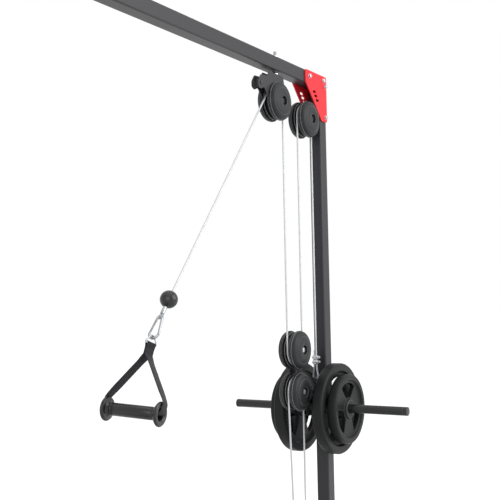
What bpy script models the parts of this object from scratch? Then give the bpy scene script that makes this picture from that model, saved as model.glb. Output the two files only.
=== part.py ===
# Plate loaded cable multi gym: one lifting station on a square tube gate frame.
# The user stands in front of the station, on its -Y side, and pulls the handle down and away.
# Frame: +Z up, the floor at z = 0, the main upright's axis at x = 0, y = 0, the beam along -Y.
import math

import bmesh
import bpy
from mathutils import Matrix, Vector

# Clearances
GAP = 0.0003
RUN = 0.001
SLIDE = 0.0005
FACET = 0.0008

# Frame tubes
TOTAL_HEIGHT = 2.10
SPAN = 2.00
TUBE = 0.045
TUBE_WALL = 0.002
TUBE_CORNER = 0.004
FOOT_LENGTH = 0.90
FOOT_PAD_HEIGHT = 0.006
FOOT_PAD_LENGTH = 0.060
BASE_LENGTH = 0.120
BASE_PLATE = 0.006
DRAIN_RADIUS = 0.010
RIB = 0.005
RIB_TOP = 0.158
RIB_LEDGE = 0.012
RIB_TOE_INSET = 0.004
RIB_TOE_HEIGHT = 0.008
TOP_PLATE_LENGTH = 0.120
PLATE = 0.004
WELD = 0.0005

# Corner plates
GUSSET_REACH = 0.152
GUSSET_DROP = 0.160
GUSSET_NOSE = 0.042
GUSSET_TOE = 0.040
GUSSET_CORNER = 0.007
GUSSET_SLOT_LENGTH = 0.0232
GUSSET_SLOT_WIDTH = 0.0092
GUSSET_SLOTS = ((0.068, 0.067), (0.058, 0.080), (0.048, 0.094))

# Frame fasteners
BOLT_RADIUS = 0.004
HEAD_ACROSS = 0.013
HEAD_HEIGHT = 0.0055
NUT_HEIGHT = 0.0065
BOLT_STUB = 0.002
BOLT_EDGE = 0.018

# Pulleys, all on one pitch
PITCH_RADIUS = 0.049
WHEEL_RADIUS = 0.057
WHEEL_HALF_WIDTH = 0.0095
GROOVE_HALF_WIDTH = 0.0028
CHEEK = 0.003
COVER_RADIUS = 0.062
COVER_STEP_RADIUS = 0.046
COVER_HUB_RADIUS = 0.034
COVER_RIM_WIDTH = 0.006
COVER_DOME_WIDTH = 0.020
COVER_DEPTH = 0.024
COVER_POCKET_RADIUS = 0.0155
COVER_POCKET_DEPTH = 0.011
AXLE_RADIUS = 0.005
AXLE_HEAD_ACROSS = 0.016
AXLE_HEAD_HEIGHT = 0.006
LUG_RADIUS = 0.017
BRACKET_CORNER = 0.003
WEB_INSET = 0.004

# Cable
CABLE_RADIUS = 0.003
CABLE_JOINT = 0.0008

# Where the pulleys stand
CARRIAGE_LINE_OFFSET = 0.0275
REAR_WHEEL_DROP = 0.167
FRONT_WHEEL_DROP = 0.142
BLOCK_UPPER_DROP = 0.941
BLOCK_SPACING = 0.1355
# The bolts of the pulley brackets, from the rear wheel's axis and from the top of the base ribs
REAR_BOLT_DROP = 0.020
REAR_BOLT_RISE = 0.044
LOW_BOLT_DEEP = 0.060
LOW_BOLT_SHALLOW = 0.022
# Where the low pulley and the cable's anchor stand
LOW_WHEEL_OFFSET = 0.250
LOW_WHEEL_HEIGHT = 0.120
ANCHOR_HEIGHT = 0.118
STUD_RADIUS = 0.0045
STUD_LENGTH = 0.032
STUD_BRIDGE_RADIUS = 0.0075
BLOCK_LUG_RADIUS = 0.019
SPACER_RADIUS = 0.005
RIVET_STUB = 0.002

# Swivel of the front pulley
SWIVEL_OFFSET = 0.007
SWIVEL_RADIUS = 0.005
SWIVEL_NUT_ACROSS = 0.017
SWIVEL_NUT_HEIGHT = 0.008
SWIVEL_HEAD_HEIGHT = 0.0065
SWIVEL_WASHER_RADIUS = 0.014
SWIVEL_WASHER_HEIGHT = 0.002
SWIVEL_END = 0.014
BRIDGE = 0.004
BRIDGE_HALF_LENGTH = 0.020
YOKE_CORNER = 0.006
YOKE_REAR = 0.042
YOKE_REAR_TOP = 0.036
YOKE_REAR_RISE = 0.050
YOKE_FOOT_HALF = 0.027
YOKE_FOOT_DROP = 0.026
YOKE_BELLY = (0.062, 0.006)
YOKE_NOTCH = (0.084, 0.031)
YOKE_STEP = (0.066, 0.0695)
YOKE_STEP_TOP = 0.054
YOKE_ROLLER_LUG = ((0.0005, -0.0195), (0.016, -0.013), (0.0155, 0.005), (0.0, 0.0265))
YOKE_TOP_GAP = 0.001
ROLLER_FORWARD = 0.104
ROLLER_RISE = 0.041
ROLLER_RADIUS = 0.0165
ROLLER_WAIST = 0.0115
ROLLER_PIN_RADIUS = 0.004
ROLLER_PIN_STUB = 0.003
ROLLER_RIM_WIDTH = 0.003
ROLLER_WAIST_HALF = 0.002

# Weight carriage
BAR_LINE_OFFSET = 0.0215
BAR_DROP = 1.142
BAR_RADIUS = 0.014
BAR_LENGTH = 0.644
COLLAR_RADIUS = 0.028
COLLAR_WIDTH = 0.005
PLATE_START = 0.052
SLEEVE_WALL = 0.003
SLEEVE_CORNER = 0.003
SLEEVE_ABOVE = 0.064
SLEEVE_BELOW = 0.072
PAD_WALL = 0.003
CHEEK_PLATE = 0.005
CHEEK_FORWARD = 0.068
CHEEK_ABOVE = 0.052
CHEEK_BELOW = 0.030
CHEEK_CORNER = 0.010
SHELF_HEIGHT = 0.036
SHELF_INSET = 0.006
EYE_ROOT = 0.006
EYE_RING_RADIUS = 0.0105
EYE_WIRE = 0.0032
EYE_RISE = 0.092
BUFFER_HEIGHT = 0.018
BUFFER_WALL = 0.016

# Weight plates
PLATE_BORE = 0.0155
LARGE_RADIUS = 0.150
LARGE_WIDTH = 0.038
SMALL_RADIUS = 0.115
SMALL_WIDTH = 0.032
RIM_SHARE_LARGE = 0.026
RIM_SHARE_SMALL = 0.020
HUB_RADIUS = 0.030
WEB_WIDTH = 0.014
WEB_SLOPE = 0.006
GRIP_INSET = 0.007
GRIP_GAP_LARGE = 0.068
GRIP_GAP_SMALL = 0.049
GRIP_SPREAD = 34.0

# Cable end on the carriage
CLIP_SPACING = 0.0155
CLIP_HEIGHT = 0.0125
CLIP_WIDTH = 0.016
CLIP_THICK = 0.015
CLIP_CORNER = 0.003
CLIP_TOP_RISE = 0.174
CLIP_NUT_ACROSS = 0.008
CLIP_NUT_HEIGHT = 0.005
TAIL_LENGTH = 0.030
TAIL_SHORT = 0.012
CLIP_EXIT = 0.004
LOOP_HALF_WIDTH = 0.0095

# Handle and its line
PULL_ANGLE = math.radians(39.0)
STRAND_LENGTH = 0.852
BALL_RADIUS = 0.024
FERRULE_RADIUS = 0.0055
FERRULE_LENGTH = 0.018
EYE_LOOP_LENGTH = 0.024
EYE_LOOP_HALF_WIDTH = 0.0070
EYE_LOOP_WIRE = 0.0022
EYE_LOOP_ROOT = 0.004
EYE_LOOP_NECK = 0.002
HOOK_WIRE = 0.0036
GATE_WIRE = 0.0030
HOOK_LENGTH = 0.072
GATE_SLACK = 0.0016
HOOK_TOP_RADIUS = 0.0085
HOOK_FOOT_RADIUS = 0.0130
HOOK_ANGLE = math.radians(33.0)
RING_WIRE = 0.0024
RING_HALF_WIDTH = 0.0185
RING_HEIGHT = 0.026
RING_SHOULDER = 0.006
RING_CORNER = 0.0030
HANDLE_ANGLE = math.radians(24.0)
GRIP_TURN = math.radians(10.0)
STRAP_WIDTH = 0.024
STRAP_THICK = 0.0024
STRAP_NECK = 0.030
STRAP_DROP = 0.177
STRAP_MOUTH = 0.010
STRAP_FLARE = 0.006
STRAP_BEND = 0.004
STRAP_TURN = 0.003
GRIP_HALF_LENGTH = 0.080
GRIP_RADIUS = 0.0165
GRIP_CORE_RADIUS = 0.0145
GRIP_BORE = 0.0130
FLANGE_RADIUS = 0.031
FLANGE_WIDTH = 0.010
FLANGE_MOUTH = 0.0180
FLANGE_EDGE = 0.002
FLANGE_FACE = 0.004
FLANGE_DRAFT = 0.003
GRIP_MOUTH_DEPTH = 0.012
GRIP_NECK = 0.006

# Length of the front strand that sways with the swivel
TURN_STRAND = 0.300

# Low line
LOW_STRAND_LENGTH = 0.068
FERRULE_PRESS = 0.004

# Round faces
WHEEL_STEPS = 20
COVER_STEPS = 20
DISC_STEPS = 24
ROD_STEPS = 12
HOLE_STEPS = 8
BALL_STEPS = 16
GRIP_STEPS = 16

# Places worked out from the sizes above
HALF_TUBE = TUBE / 2
BEAM_TOP = TOTAL_HEIGHT
BEAM_BOTTOM = TOTAL_HEIGHT - TUBE
FOOT_TOP = FOOT_PAD_HEIGHT + TUBE
UPRIGHT_BOTTOM = FOOT_TOP + GAP
UPRIGHT_TOP = BEAM_BOTTOM - GAP
CARRIAGE_LINE = -HALF_TUBE - CARRIAGE_LINE_OFFSET
REAR_WHEEL = Vector((0, CARRIAGE_LINE - PITCH_RADIUS, TOTAL_HEIGHT - REAR_WHEEL_DROP))
BLOCK_Y = REAR_WHEEL.y - 2 * PITCH_RADIUS
BLOCK_UPPER = Vector((0, BLOCK_Y, TOTAL_HEIGHT - BLOCK_UPPER_DROP))
BLOCK_LOWER = BLOCK_UPPER - Vector((0, 0, BLOCK_SPACING))
FRONT_WHEEL = Vector((0, BLOCK_Y - 2 * PITCH_RADIUS, TOTAL_HEIGHT - FRONT_WHEEL_DROP))
LOW_WHEEL = Vector((0, -LOW_WHEEL_OFFSET, LOW_WHEEL_HEIGHT))
ANCHOR = Vector((0, BLOCK_Y + PITCH_RADIUS, ANCHOR_HEIGHT))
SWIVEL_Y = FRONT_WHEEL.y + SWIVEL_OFFSET
CHEEK_INNER = WHEEL_HALF_WIDTH + RUN
CHEEK_OUTER = CHEEK_INNER + CHEEK
COVER_INNER = CHEEK_OUTER + GAP
ROLLER = FRONT_WHEEL + Vector((0, -ROLLER_FORWARD, ROLLER_RISE))
BAR = Vector((0, -HALF_TUBE - BAR_LINE_OFFSET, TOTAL_HEIGHT - BAR_DROP))
PAD_INNER = HALF_TUBE + SLIDE
SLEEVE_INNER = PAD_INNER + PAD_WALL + GAP
SLEEVE_OUTER = SLEEVE_INNER + SLEEVE_WALL
LOOP_X = -CABLE_RADIUS - GAP

FINISHES = {
    "graphite_powder_coat": ((0.098, 0.098, 0.102), 0.45, 0.3),
    "red_powder_coat": ((0.80, 0.045, 0.045), 0.35, 0.1),
    "zinc_steel": ((0.62, 0.62, 0.63), 0.30, 1.0),
    "black_plastic": ((0.022, 0.022, 0.024), 0.50, 0.0),
    "plate_iron": ((0.028, 0.028, 0.030), 0.60, 0.2),
    "black_rubber": ((0.015, 0.015, 0.016), 0.75, 0.0),
    "coated_cable": ((0.60, 0.61, 0.62), 0.35, 0.4),
    "black_webbing": ((0.020, 0.020, 0.021), 0.85, 0.0),
}

# Local x and y of an outline, and its thickness, on the frame's axes
ALONG_X = Matrix(((0, 0, 1), (1, 0, 0), (0, 1, 0))).to_4x4()
ALONG_Y = Matrix(((0, 1, 0), (0, 0, 1), (1, 0, 0))).to_4x4()
ALONG_Z = Matrix.Identity(4)
UPRIGHT_IN_XZ = Matrix(((1, 0, 0), (0, 0, -1), (0, 1, 0))).to_4x4()


def finish_material(finish):
    """One Principled material per finish."""
    material = bpy.data.materials.get(finish)
    if material is None:
        colour, roughness, metallic = FINISHES[finish]
        material = bpy.data.materials.new(finish)
        material.use_nodes = True
        shader = material.node_tree.nodes["Principled BSDF"]
        shader.inputs["Base Color"].default_value = (*colour, 1)
        shader.inputs["Roughness"].default_value = roughness
        shader.inputs["Metallic"].default_value = metallic
    return material


def turned(profile, steps, hollow=True):
    """A solid turned about X from (x, radius) points, a ring where hollow, else closed on the axis."""
    bm = bmesh.new()
    corners = [bm.verts.new((x, 0, radius)) for x, radius in profile]
    edges = [bm.edges.new(pair) for pair in zip(corners, corners[1:])]
    if hollow:
        edges.append(bm.edges.new((corners[-1], corners[0])))
    bmesh.ops.spin(bm, geom=corners + edges, axis=(1, 0, 0), cent=(0, 0, 0), angle=2 * math.pi,
                   steps=steps, use_merge=True)
    bmesh.ops.remove_doubles(bm, verts=bm.verts, dist=0.00001)
    bmesh.ops.recalc_face_normals(bm, faces=bm.faces)
    return bm


def sheet(outline, thickness, along, start, holes=()):
    """A flat outline with holes, made solid from start along the axis that along gives."""
    bm = bmesh.new()
    edges = []
    for loop in (outline, *holes):
        corners = [bm.verts.new((u, v, 0)) for u, v in loop]
        edges += [bm.edges.new(pair) for pair in zip(corners, corners[1:] + corners[:1])]
    bmesh.ops.triangle_fill(bm, edges=edges, use_beauty=True)
    grown = bmesh.ops.extrude_face_region(bm, geom=list(bm.faces))["geom"]
    moved = [item for item in grown if isinstance(item, bmesh.types.BMVert)]
    bmesh.ops.translate(bm, verts=moved, vec=(0, 0, thickness))
    bmesh.ops.recalc_face_normals(bm, faces=bm.faces)
    bm.transform(along @ Matrix.Translation((0, 0, start)))
    return bm


def placed(bm, origin, matrix=Matrix.Identity(4)):
    """The same solid, turned by matrix and moved to origin."""
    bm.transform(Matrix.Translation(origin) @ matrix)
    return bm


def mirrored(bm):
    """The same solid, mirrored from +X to -X."""
    bm.transform(Matrix.Scale(-1, 4, (1, 0, 0)))
    bmesh.ops.reverse_faces(bm, faces=bm.faces)
    return bm


def circle(u, v, radius, steps):
    """Corners of a circle about (u, v)."""
    angles = [2 * math.pi * i / steps for i in range(steps)]
    return [(u + radius * math.cos(a), v + radius * math.sin(a)) for a in angles]


def bolt_hole(u, v, radius):
    """A hole that clears a round shank of that radius all round."""
    return circle(u, v, (radius + GAP) / math.cos(math.pi / HOLE_STEPS), HOLE_STEPS)


def filleted(corners, radius, steps=3):
    """A polygon with an arc of that radius at every corner."""
    outline = []
    for i, corner in enumerate(corners):
        here = Vector(corner)
        before = (Vector(corners[i - 1]) - here).normalized()
        after = (Vector(corners[(i + 1) % len(corners)]) - here).normalized()
        half = before.angle(after) / 2
        inward = (before + after).normalized()
        centre = here + inward * (radius / math.sin(half))
        sweep = math.pi - 2 * half
        first = here + before * (radius / math.tan(half)) - centre
        turn = math.copysign(1, first.x * (-inward.y) - first.y * (-inward.x))
        for step in range(steps + 1):
            angle = turn * sweep * step / steps
            spoke = Matrix.Rotation(angle, 2) @ first
            outline.append(tuple(centre + spoke))
    return outline


def rectangle(u0, u1, v0, v1):
    """Corners of an upright rectangle."""
    return [(u0, v0), (u1, v0), (u1, v1), (u0, v1)]


def slot(u, v, length, width, steps=3):
    """A level slot with round ends about (u, v)."""
    reach = (length - width) / 2
    points = []
    for side in (1, -1):
        for step in range(steps + 1):
            angle = -math.pi / 2 + math.pi * step / steps
            points.append((u + side * (reach + width / 2 * math.cos(angle)),
                           v + side * width / 2 * math.sin(angle)))
    return points


def square_tube(length, along, start, u, v):
    """A hollow square tube about (u, v), open at both ends."""
    outer = filleted(rectangle(u - HALF_TUBE, u + HALF_TUBE, v - HALF_TUBE, v + HALF_TUBE), TUBE_CORNER, 2)
    inside = HALF_TUBE - TUBE_WALL
    corner = TUBE_CORNER - TUBE_WALL
    inner = filleted(rectangle(u - inside, u + inside, v - inside, v + inside), corner, 1)
    return sheet(outer, length, along, start, [inner])


def square_ring(inner, outer, height, bottom, corner):
    """A square ring about the main upright."""
    outline = filleted(rectangle(-outer, outer, -outer, outer), corner + outer - inner, 2)
    hole = filleted(rectangle(-inner, inner, -inner, inner), corner, 2)
    return sheet(outline, height, ALONG_Z, bottom, [hole])


def stacked(rings):
    """A solid skinned over rings of twelve points, each ring (points, height)."""
    bm = bmesh.new()
    loops = [[bm.verts.new((u, v, height)) for u, v in ring] for ring, height in rings]
    bm.faces.new(loops[0])
    for upper, lower in zip(loops, loops[1:]):
        for i, corner in enumerate(upper):
            j = (i + 1) % len(upper)
            bm.faces.new((corner, lower[i], lower[j], upper[j]))
    bm.faces.new(loops[-1])
    bmesh.ops.recalc_face_normals(bm, faces=bm.faces)
    return bm


def hexagon(across):
    """Twelve points round a hexagon of that width across its flats."""
    corners = circle(0, 0, across / math.sqrt(3), 6)
    points = []
    for first, second in zip(corners, corners[1:] + corners[:1]):
        points += [first, tuple((Vector(first) + Vector(second)) / 2)]
    return points


def bolt(radius, grip, across, head):
    """A hexagon bolt with its nut run on: the head above z = 0, the nut below z = -grip."""
    shank = circle(0, 0, radius, 12)
    flats = hexagon(across)
    nut_end = -grip - NUT_HEIGHT
    return stacked([(flats, head), (flats, 0.0), (shank, 0.0), (shank, -grip), (flats, -grip),
                    (flats, nut_end), (shank, nut_end), (shank, nut_end - BOLT_STUB)])


def turned_to(direction):
    """The rotation that takes +Z to a direction."""
    return Vector(direction).to_track_quat("Z", "Y").to_matrix().to_4x4()


def through_bolt(head_at, direction, grip, radius=BOLT_RADIUS, across=HEAD_ACROSS, head=HEAD_HEIGHT):
    """A bolt and its nut that clamp a stack of that grip, the stack's near face at head_at."""
    way = Vector(direction)
    return placed(bolt(radius, grip + 2 * GAP, across, head), Vector(head_at) - way * GAP, turned_to(-way))


def merged(solids):
    """Several solids in one bmesh, each still its own body."""
    whole = bmesh.new()
    for solid in solids:
        mesh = bpy.data.meshes.new("part")
        solid.to_mesh(mesh)
        solid.free()
        whole.from_mesh(mesh)
        bpy.data.meshes.remove(mesh)
    return whole


def shaped(name, solids, finish, origin=(0, 0, 0), smooth=True):
    """An object from solids given in world places, its origin moved to the point named."""
    bm = merged(solids)
    bm.transform(Matrix.Translation(-Vector(origin)))
    mesh = bpy.data.meshes.new(name)
    bm.to_mesh(mesh)
    bm.free()
    item = bpy.data.objects.new(name, mesh)
    bpy.context.scene.collection.objects.link(item)
    item.location = origin
    mesh.materials.append(finish_material(finish))
    if smooth:
        mesh.shade_smooth()
        mesh.set_sharp_from_angle(angle=math.radians(35))
    return item


def combine(item, solids, operation):
    """Cuts solids from an item, or joins them to it, with a live Boolean."""
    for i, solid in enumerate(solids):
        tool = shaped(f"{item.name}_{operation.lower()}_{i}", [solid], "zinc_steel", smooth=False)
        tool.hide_render = True
        tool.display_type = "WIRE"
        modifier = item.modifiers.new(operation.title(), "BOOLEAN")
        modifier.operation = operation
        modifier.object = tool
        modifier.solver = "EXACT"


def hulled(discs, steps=8):
    """The outline round a chain of discs (y, z, radius), as a belt would run."""
    points = []
    for y, z, radius in discs:
        points += [Vector(p) for p in circle(y, z, radius, steps * 2)]
    start = min(points, key=lambda p: (p.x, p.y))
    outline = [start]
    while True:
        here = outline[-1]
        best = None
        for point in points:
            if (point - here).length < 0.00001:
                continue
            if best is None:
                best = point
                continue
            side = (best - here).cross(point - here)
            if side < 0 or (side == 0 and (point - here).length > (best - here).length):
                best = point
        if best is None or (best - start).length < 0.00001:
            break
        outline.append(best)
    return [tuple(p) for p in outline]


def rod(start, direction, length, radius, steps=ROD_STEPS):
    """A plain round rod from start along direction."""
    bm = turned([(0, 0), (0, radius), (length, radius), (length, 0)], steps, hollow=False)
    turn = Vector(direction).to_track_quat("X", "Z").to_matrix().to_4x4()
    return placed(bm, start, turn)


def drilled(item, holes, radius):
    """Cuts one set of holes that clear a shank of that radius, each (start, direction, length)."""
    wide = (radius + GAP) / math.cos(math.pi / HOLE_STEPS)
    combine(item, [merged([rod(start, way, length, wide, HOLE_STEPS) for start, way, length in holes])],
            "DIFFERENCE")


def wire(name, route, radius, finish, origin, closed=False):
    """A round wire or cable along a route of points, with filled ends."""
    curve = bpy.data.curves.new(name, "CURVE")
    curve.dimensions = "3D"
    curve.fill_mode = "FULL"
    curve.bevel_depth = radius
    curve.bevel_resolution = 2
    curve.use_fill_caps = True
    spline = curve.splines.new("POLY")
    spline.points.add(len(route) - 1)
    for point, place in zip(spline.points, route):
        point.co = (*(Vector(place) - Vector(origin)), 1)
    spline.use_cyclic_u = closed
    spline.use_smooth = True
    curve.materials.append(finish_material(finish))
    item = bpy.data.objects.new(name, curve)
    bpy.context.scene.collection.objects.link(item)
    item.location = origin
    return item


def wire_solid(route, radius):
    """A round wire along a route, as a solid that a Boolean can join to a turned piece."""
    item = wire("wire_stock", route, radius, "zinc_steel", (0, 0, 0))
    bpy.context.view_layer.update()
    evaluated = item.evaluated_get(bpy.context.evaluated_depsgraph_get())
    mesh = bpy.data.meshes.new_from_object(evaluated)
    bm = bmesh.new()
    bm.from_mesh(mesh)
    bpy.data.meshes.remove(mesh)
    bpy.data.objects.remove(item)
    bmesh.ops.remove_doubles(bm, verts=bm.verts, dist=0.00001)
    bmesh.ops.recalc_face_normals(bm, faces=bm.faces)
    return bm


def arc(centre, radius, first, last, steps):
    """Points round a wheel's axis in the YZ plane, angles in degrees from +Y towards +Z."""
    angles = [math.radians(first + (last - first) * i / steps) for i in range(steps + 1)]
    return [Vector(centre) + Vector((0, radius * math.cos(a), radius * math.sin(a))) for a in angles]


# Bolt places through the corner plates, as (distance in front of the upright's axis, depth below the top)
GUSSET_BOLTS = ((0.103, 0.020), (0.001, 0.016), (-0.012, 0.035), (-0.012, 0.144))
# Heights of the bolts that run along Y through the upright
REAR_BRACKET_BOLTS = (REAR_WHEEL.z - REAR_BOLT_DROP, REAR_WHEEL.z + REAR_BOLT_RISE)
LOW_BRACKET_BOLTS = (RIB_TOP - LOW_BOLT_DEEP, RIB_TOP - LOW_BOLT_SHALLOW)


def post(name, y, heights, top_plate):
    """A square post with a welded base plate and two base ribs, drilled along Y at those heights."""
    top = UPRIGHT_TOP
    start = UPRIGHT_BOTTOM + BASE_PLATE / 2
    item = shaped(name, [square_tube(top - start, ALONG_Z, start, 0, y)],
                  "graphite_powder_coat", (0, y, 0))
    half = BASE_LENGTH / 2
    solids = [sheet(rectangle(-half, half, y - HALF_TUBE, y + HALF_TUBE), BASE_PLATE, ALONG_Z,
                    UPRIGHT_BOTTOM, [circle(0, y, DRAIN_RADIUS, 12)])]
    for side in (1, -1):
        root = side * (HALF_TUBE - WELD)
        toe = side * (half - RIB_TOE_INSET)
        low = UPRIGHT_BOTTOM + BASE_PLATE - 2 * WELD
        ledge = side * (HALF_TUBE + RIB_LEDGE)
        rib = [(root, low), (toe, low), (toe, low + RIB_TOE_HEIGHT), (ledge, RIB_TOP), (root, RIB_TOP)]
        solids.append(placed(sheet(rib, RIB, UPRIGHT_IN_XZ, -RIB / 2), (0, y, 0)))
    if top_plate:
        reach = TOP_PLATE_LENGTH / 2
        solids.append(sheet(rectangle(-HALF_TUBE, HALF_TUBE, y - HALF_TUBE, y - HALF_TUBE + 2 * reach),
                            BASE_PLATE, ALONG_Z, top - BASE_PLATE))
    combine(item, solids, "UNION")
    wide = TUBE + 2 * RUN
    holes = [((0, y - wide / 2, z), (0, 1, 0), wide) for z in heights]
    if not top_plate:
        near, depth = GUSSET_BOLTS[-1]
        holes.append(((-wide / 2, -near, BEAM_TOP - depth), (1, 0, 0), wide))
    if holes:
        drilled(item, holes, BOLT_RADIUS)
    return item


def frame_tubes():
    """The beam, the two posts and the two feet."""
    post("main_upright", 0.0, REAR_BRACKET_BOLTS + LOW_BRACKET_BOLTS, False)
    post("end_post", -SPAN, (), True)
    wide = TUBE + 2 * RUN
    length = SPAN + TUBE
    beam = shaped("top_beam", [square_tube(length, ALONG_Y, -SPAN - HALF_TUBE, BEAM_TOP - HALF_TUBE, 0)],
                  "graphite_powder_coat")
    drilled(beam, [((-wide / 2, -near, BEAM_TOP - depth), (1, 0, 0), wide)
                   for near, depth in GUSSET_BOLTS[:-1]], BOLT_RADIUS)
    drilled(beam, [((0, SWIVEL_Y, BEAM_BOTTOM - RUN), (0, 0, 1), wide)], SWIVEL_RADIUS)
    for name, y in (("main_foot", 0.0), ("end_foot", -SPAN)):
        foot(name, y)


def foot(name, y):
    """A foot tube across the frame's width, on a rubber pad at its middle and at each end."""
    middle = FOOT_PAD_HEIGHT + HALF_TUBE
    item = shaped(name, [square_tube(FOOT_LENGTH, ALONG_X, -FOOT_LENGTH / 2, y, middle)],
                  "graphite_powder_coat", (0, y, 0))
    pads = []
    for side in (1, 0, -1):
        x = side * (FOOT_LENGTH / 2 - FOOT_PAD_LENGTH / 2 - RUN)
        pads.append(sheet(rectangle(x - FOOT_PAD_LENGTH / 2, x + FOOT_PAD_LENGTH / 2,
                                    y - HALF_TUBE + TUBE_CORNER, y + HALF_TUBE - TUBE_CORNER),
                          FOOT_PAD_HEIGHT + WELD, ALONG_Z, 0.0))
    combine(item, pads, "UNION")


def corner_plates():
    """The two corner plates at the head of the main upright, and the bolts through them."""
    front = HALF_TUBE - GUSSET_REACH
    corners = [(HALF_TUBE, BEAM_TOP), (HALF_TUBE, BEAM_TOP - GUSSET_DROP),
               (HALF_TUBE - GUSSET_TOE, BEAM_TOP - GUSSET_DROP),
               (front, BEAM_TOP - GUSSET_NOSE), (front, BEAM_TOP)]
    outline = filleted(corners, GUSSET_CORNER)
    holes = [bolt_hole(-near, BEAM_TOP - depth, BOLT_RADIUS) for near, depth in GUSSET_BOLTS]
    holes += [slot(-near, BEAM_TOP - depth, GUSSET_SLOT_LENGTH, GUSSET_SLOT_WIDTH)
              for near, depth in GUSSET_SLOTS]
    inner = HALF_TUBE + GAP
    shaped("gusset_right", [sheet(outline, PLATE, ALONG_X, inner, holes)], "red_powder_coat", (inner, 0, 0))
    shaped("gusset_left", [sheet(outline, PLATE, ALONG_X, -inner - PLATE, holes)], "red_powder_coat",
           (-inner, 0, 0))
    grip = 2 * (inner + PLATE)
    for i, (near, depth) in enumerate(GUSSET_BOLTS, start=1):
        place = Vector((grip / 2, -near, BEAM_TOP - depth))
        shaped(f"corner_bolt_{i}", [through_bolt(place, (-1, 0, 0), grip)], "zinc_steel", place)


def wheel(name, centre):
    """A grooved pulley wheel on its axle."""
    seat = PITCH_RADIUS - CABLE_RADIUS - GAP - FACET
    half = [(WHEEL_HALF_WIDTH, AXLE_RADIUS + GAP), (WHEEL_HALF_WIDTH, WHEEL_RADIUS),
            (GROOVE_HALF_WIDTH, seat)]
    profile = half + [(-x, radius) for x, radius in reversed(half)]
    return shaped(name, [placed(turned(profile, WHEEL_STEPS), centre)], "black_plastic", centre)


def cover():
    """One pulley cover on the +X side: rim, dome, step and hub with a pocket for the bolt head."""
    base = COVER_INNER
    floor = base + COVER_DEPTH - COVER_POCKET_DEPTH
    profile = [(base, AXLE_RADIUS + GAP), (base, COVER_RADIUS), (base + COVER_RIM_WIDTH, COVER_RADIUS),
               (base + COVER_DOME_WIDTH, COVER_STEP_RADIUS), (base + COVER_DEPTH, COVER_HUB_RADIUS),
               (base + COVER_DEPTH, COVER_POCKET_RADIUS), (floor, COVER_POCKET_RADIUS),
               (floor, AXLE_RADIUS + GAP)]
    return turned(profile, COVER_STEPS)


def dressed_pulley(prefix, centre):
    """A wheel with its two covers and its axle bolt, seated in the covers' pockets."""
    wheel(f"{prefix}_wheel", centre)
    shaped(f"{prefix}_cover_right", [placed(cover(), centre)], "black_plastic", centre)
    shaped(f"{prefix}_cover_left", [placed(mirrored(cover()), centre)], "black_plastic", centre)
    seat = COVER_INNER + COVER_DEPTH - COVER_POCKET_DEPTH
    pulley_axle(f"{prefix}_axle", centre, seat)


def pulley_axle(name, centre, seat):
    """A pulley's axle bolt, its head and nut seated at x = seat and x = -seat."""
    shaft = through_bolt(centre + Vector((seat, 0, 0)), (-1, 0, 0), 2 * seat, AXLE_RADIUS,
                         AXLE_HEAD_ACROSS, AXLE_HEAD_HEIGHT)
    shaped(name, [shaft], "zinc_steel", centre)


def axle_hole(centre):
    """An axle's hole through a bracket cheek, in the (y, z) plane."""
    return bolt_hole(centre.y, centre.z, AXLE_RADIUS)


def cheek(outline, holes, side):
    """One side plate of a pulley bracket, on the +X or the -X side of its wheel."""
    return sheet(outline, CHEEK, ALONG_X, CHEEK_INNER if side > 0 else -CHEEK_OUTER, holes)


def channel(name, outline, holes, face, low, high, bolts):
    """Two cheeks joined by a web that is bolted on an upright's front face."""
    item = shaped(name, [cheek(outline, holes, 1)], "graphite_powder_coat")
    wide = CHEEK_OUTER - WELD
    web = sheet(rectangle(low, high, -wide, wide), PLATE, ALONG_Y, face - PLATE,
                [bolt_hole(z, 0, BOLT_RADIUS) for z in bolts])
    combine(item, [web, cheek(outline, holes, -1)], "UNION")
    return item


def fixed_pulleys():
    """The rear top pulley and the low pulley, on the frame."""
    face = -HALF_TUBE - GAP
    corner_y = face - WELD - BRACKET_CORNER
    low, high = REAR_BRACKET_BOLTS[0] - BOLT_EDGE, REAR_BRACKET_BOLTS[1] + BOLT_EDGE
    outline = hulled([(REAR_WHEEL.y, REAR_WHEEL.z, LUG_RADIUS),
                      (corner_y, low + BRACKET_CORNER, BRACKET_CORNER),
                      (corner_y, high - BRACKET_CORNER, BRACKET_CORNER)])
    channel("rear_pulley_bracket", outline, [axle_hole(REAR_WHEEL)], face, low + WEB_INSET,
            high - WEB_INSET, REAR_BRACKET_BOLTS)
    dressed_pulley("rear", REAR_WHEEL)
    low, high = LOW_BRACKET_BOLTS[0] - BOLT_EDGE, LOW_BRACKET_BOLTS[1] + BOLT_EDGE
    outline = hulled([(LOW_WHEEL.y, LOW_WHEEL.z, LUG_RADIUS),
                      (corner_y, low + BRACKET_CORNER, BRACKET_CORNER),
                      (corner_y, high - BRACKET_CORNER, BRACKET_CORNER)])
    bracket = channel("low_pulley_bracket", outline, [axle_hole(LOW_WHEEL)], face, low + WEB_INSET,
                      high - WEB_INSET, LOW_BRACKET_BOLTS)
    stud = rod(ANCHOR, (0, 0, 1), STUD_LENGTH, STUD_RADIUS, 12)
    bridge = rod(ANCHOR - Vector((CHEEK_INNER + WELD, 0, 0)), (1, 0, 0), 2 * (CHEEK_INNER + WELD),
                 STUD_BRIDGE_RADIUS, 12)
    combine(bracket, [bridge, stud], "UNION")
    wheel("low_wheel", LOW_WHEEL)
    pulley_axle("low_axle", LOW_WHEEL, CHEEK_OUTER)


def swivel_stack():
    """Heights of the swivel: underside of the nut below the beam, top and underside of the yoke's bridge."""
    nut_bottom = BEAM_BOTTOM - GAP - SWIVEL_NUT_HEIGHT
    bridge_top = nut_bottom - GAP
    return nut_bottom, bridge_top, bridge_top - BRIDGE


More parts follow.
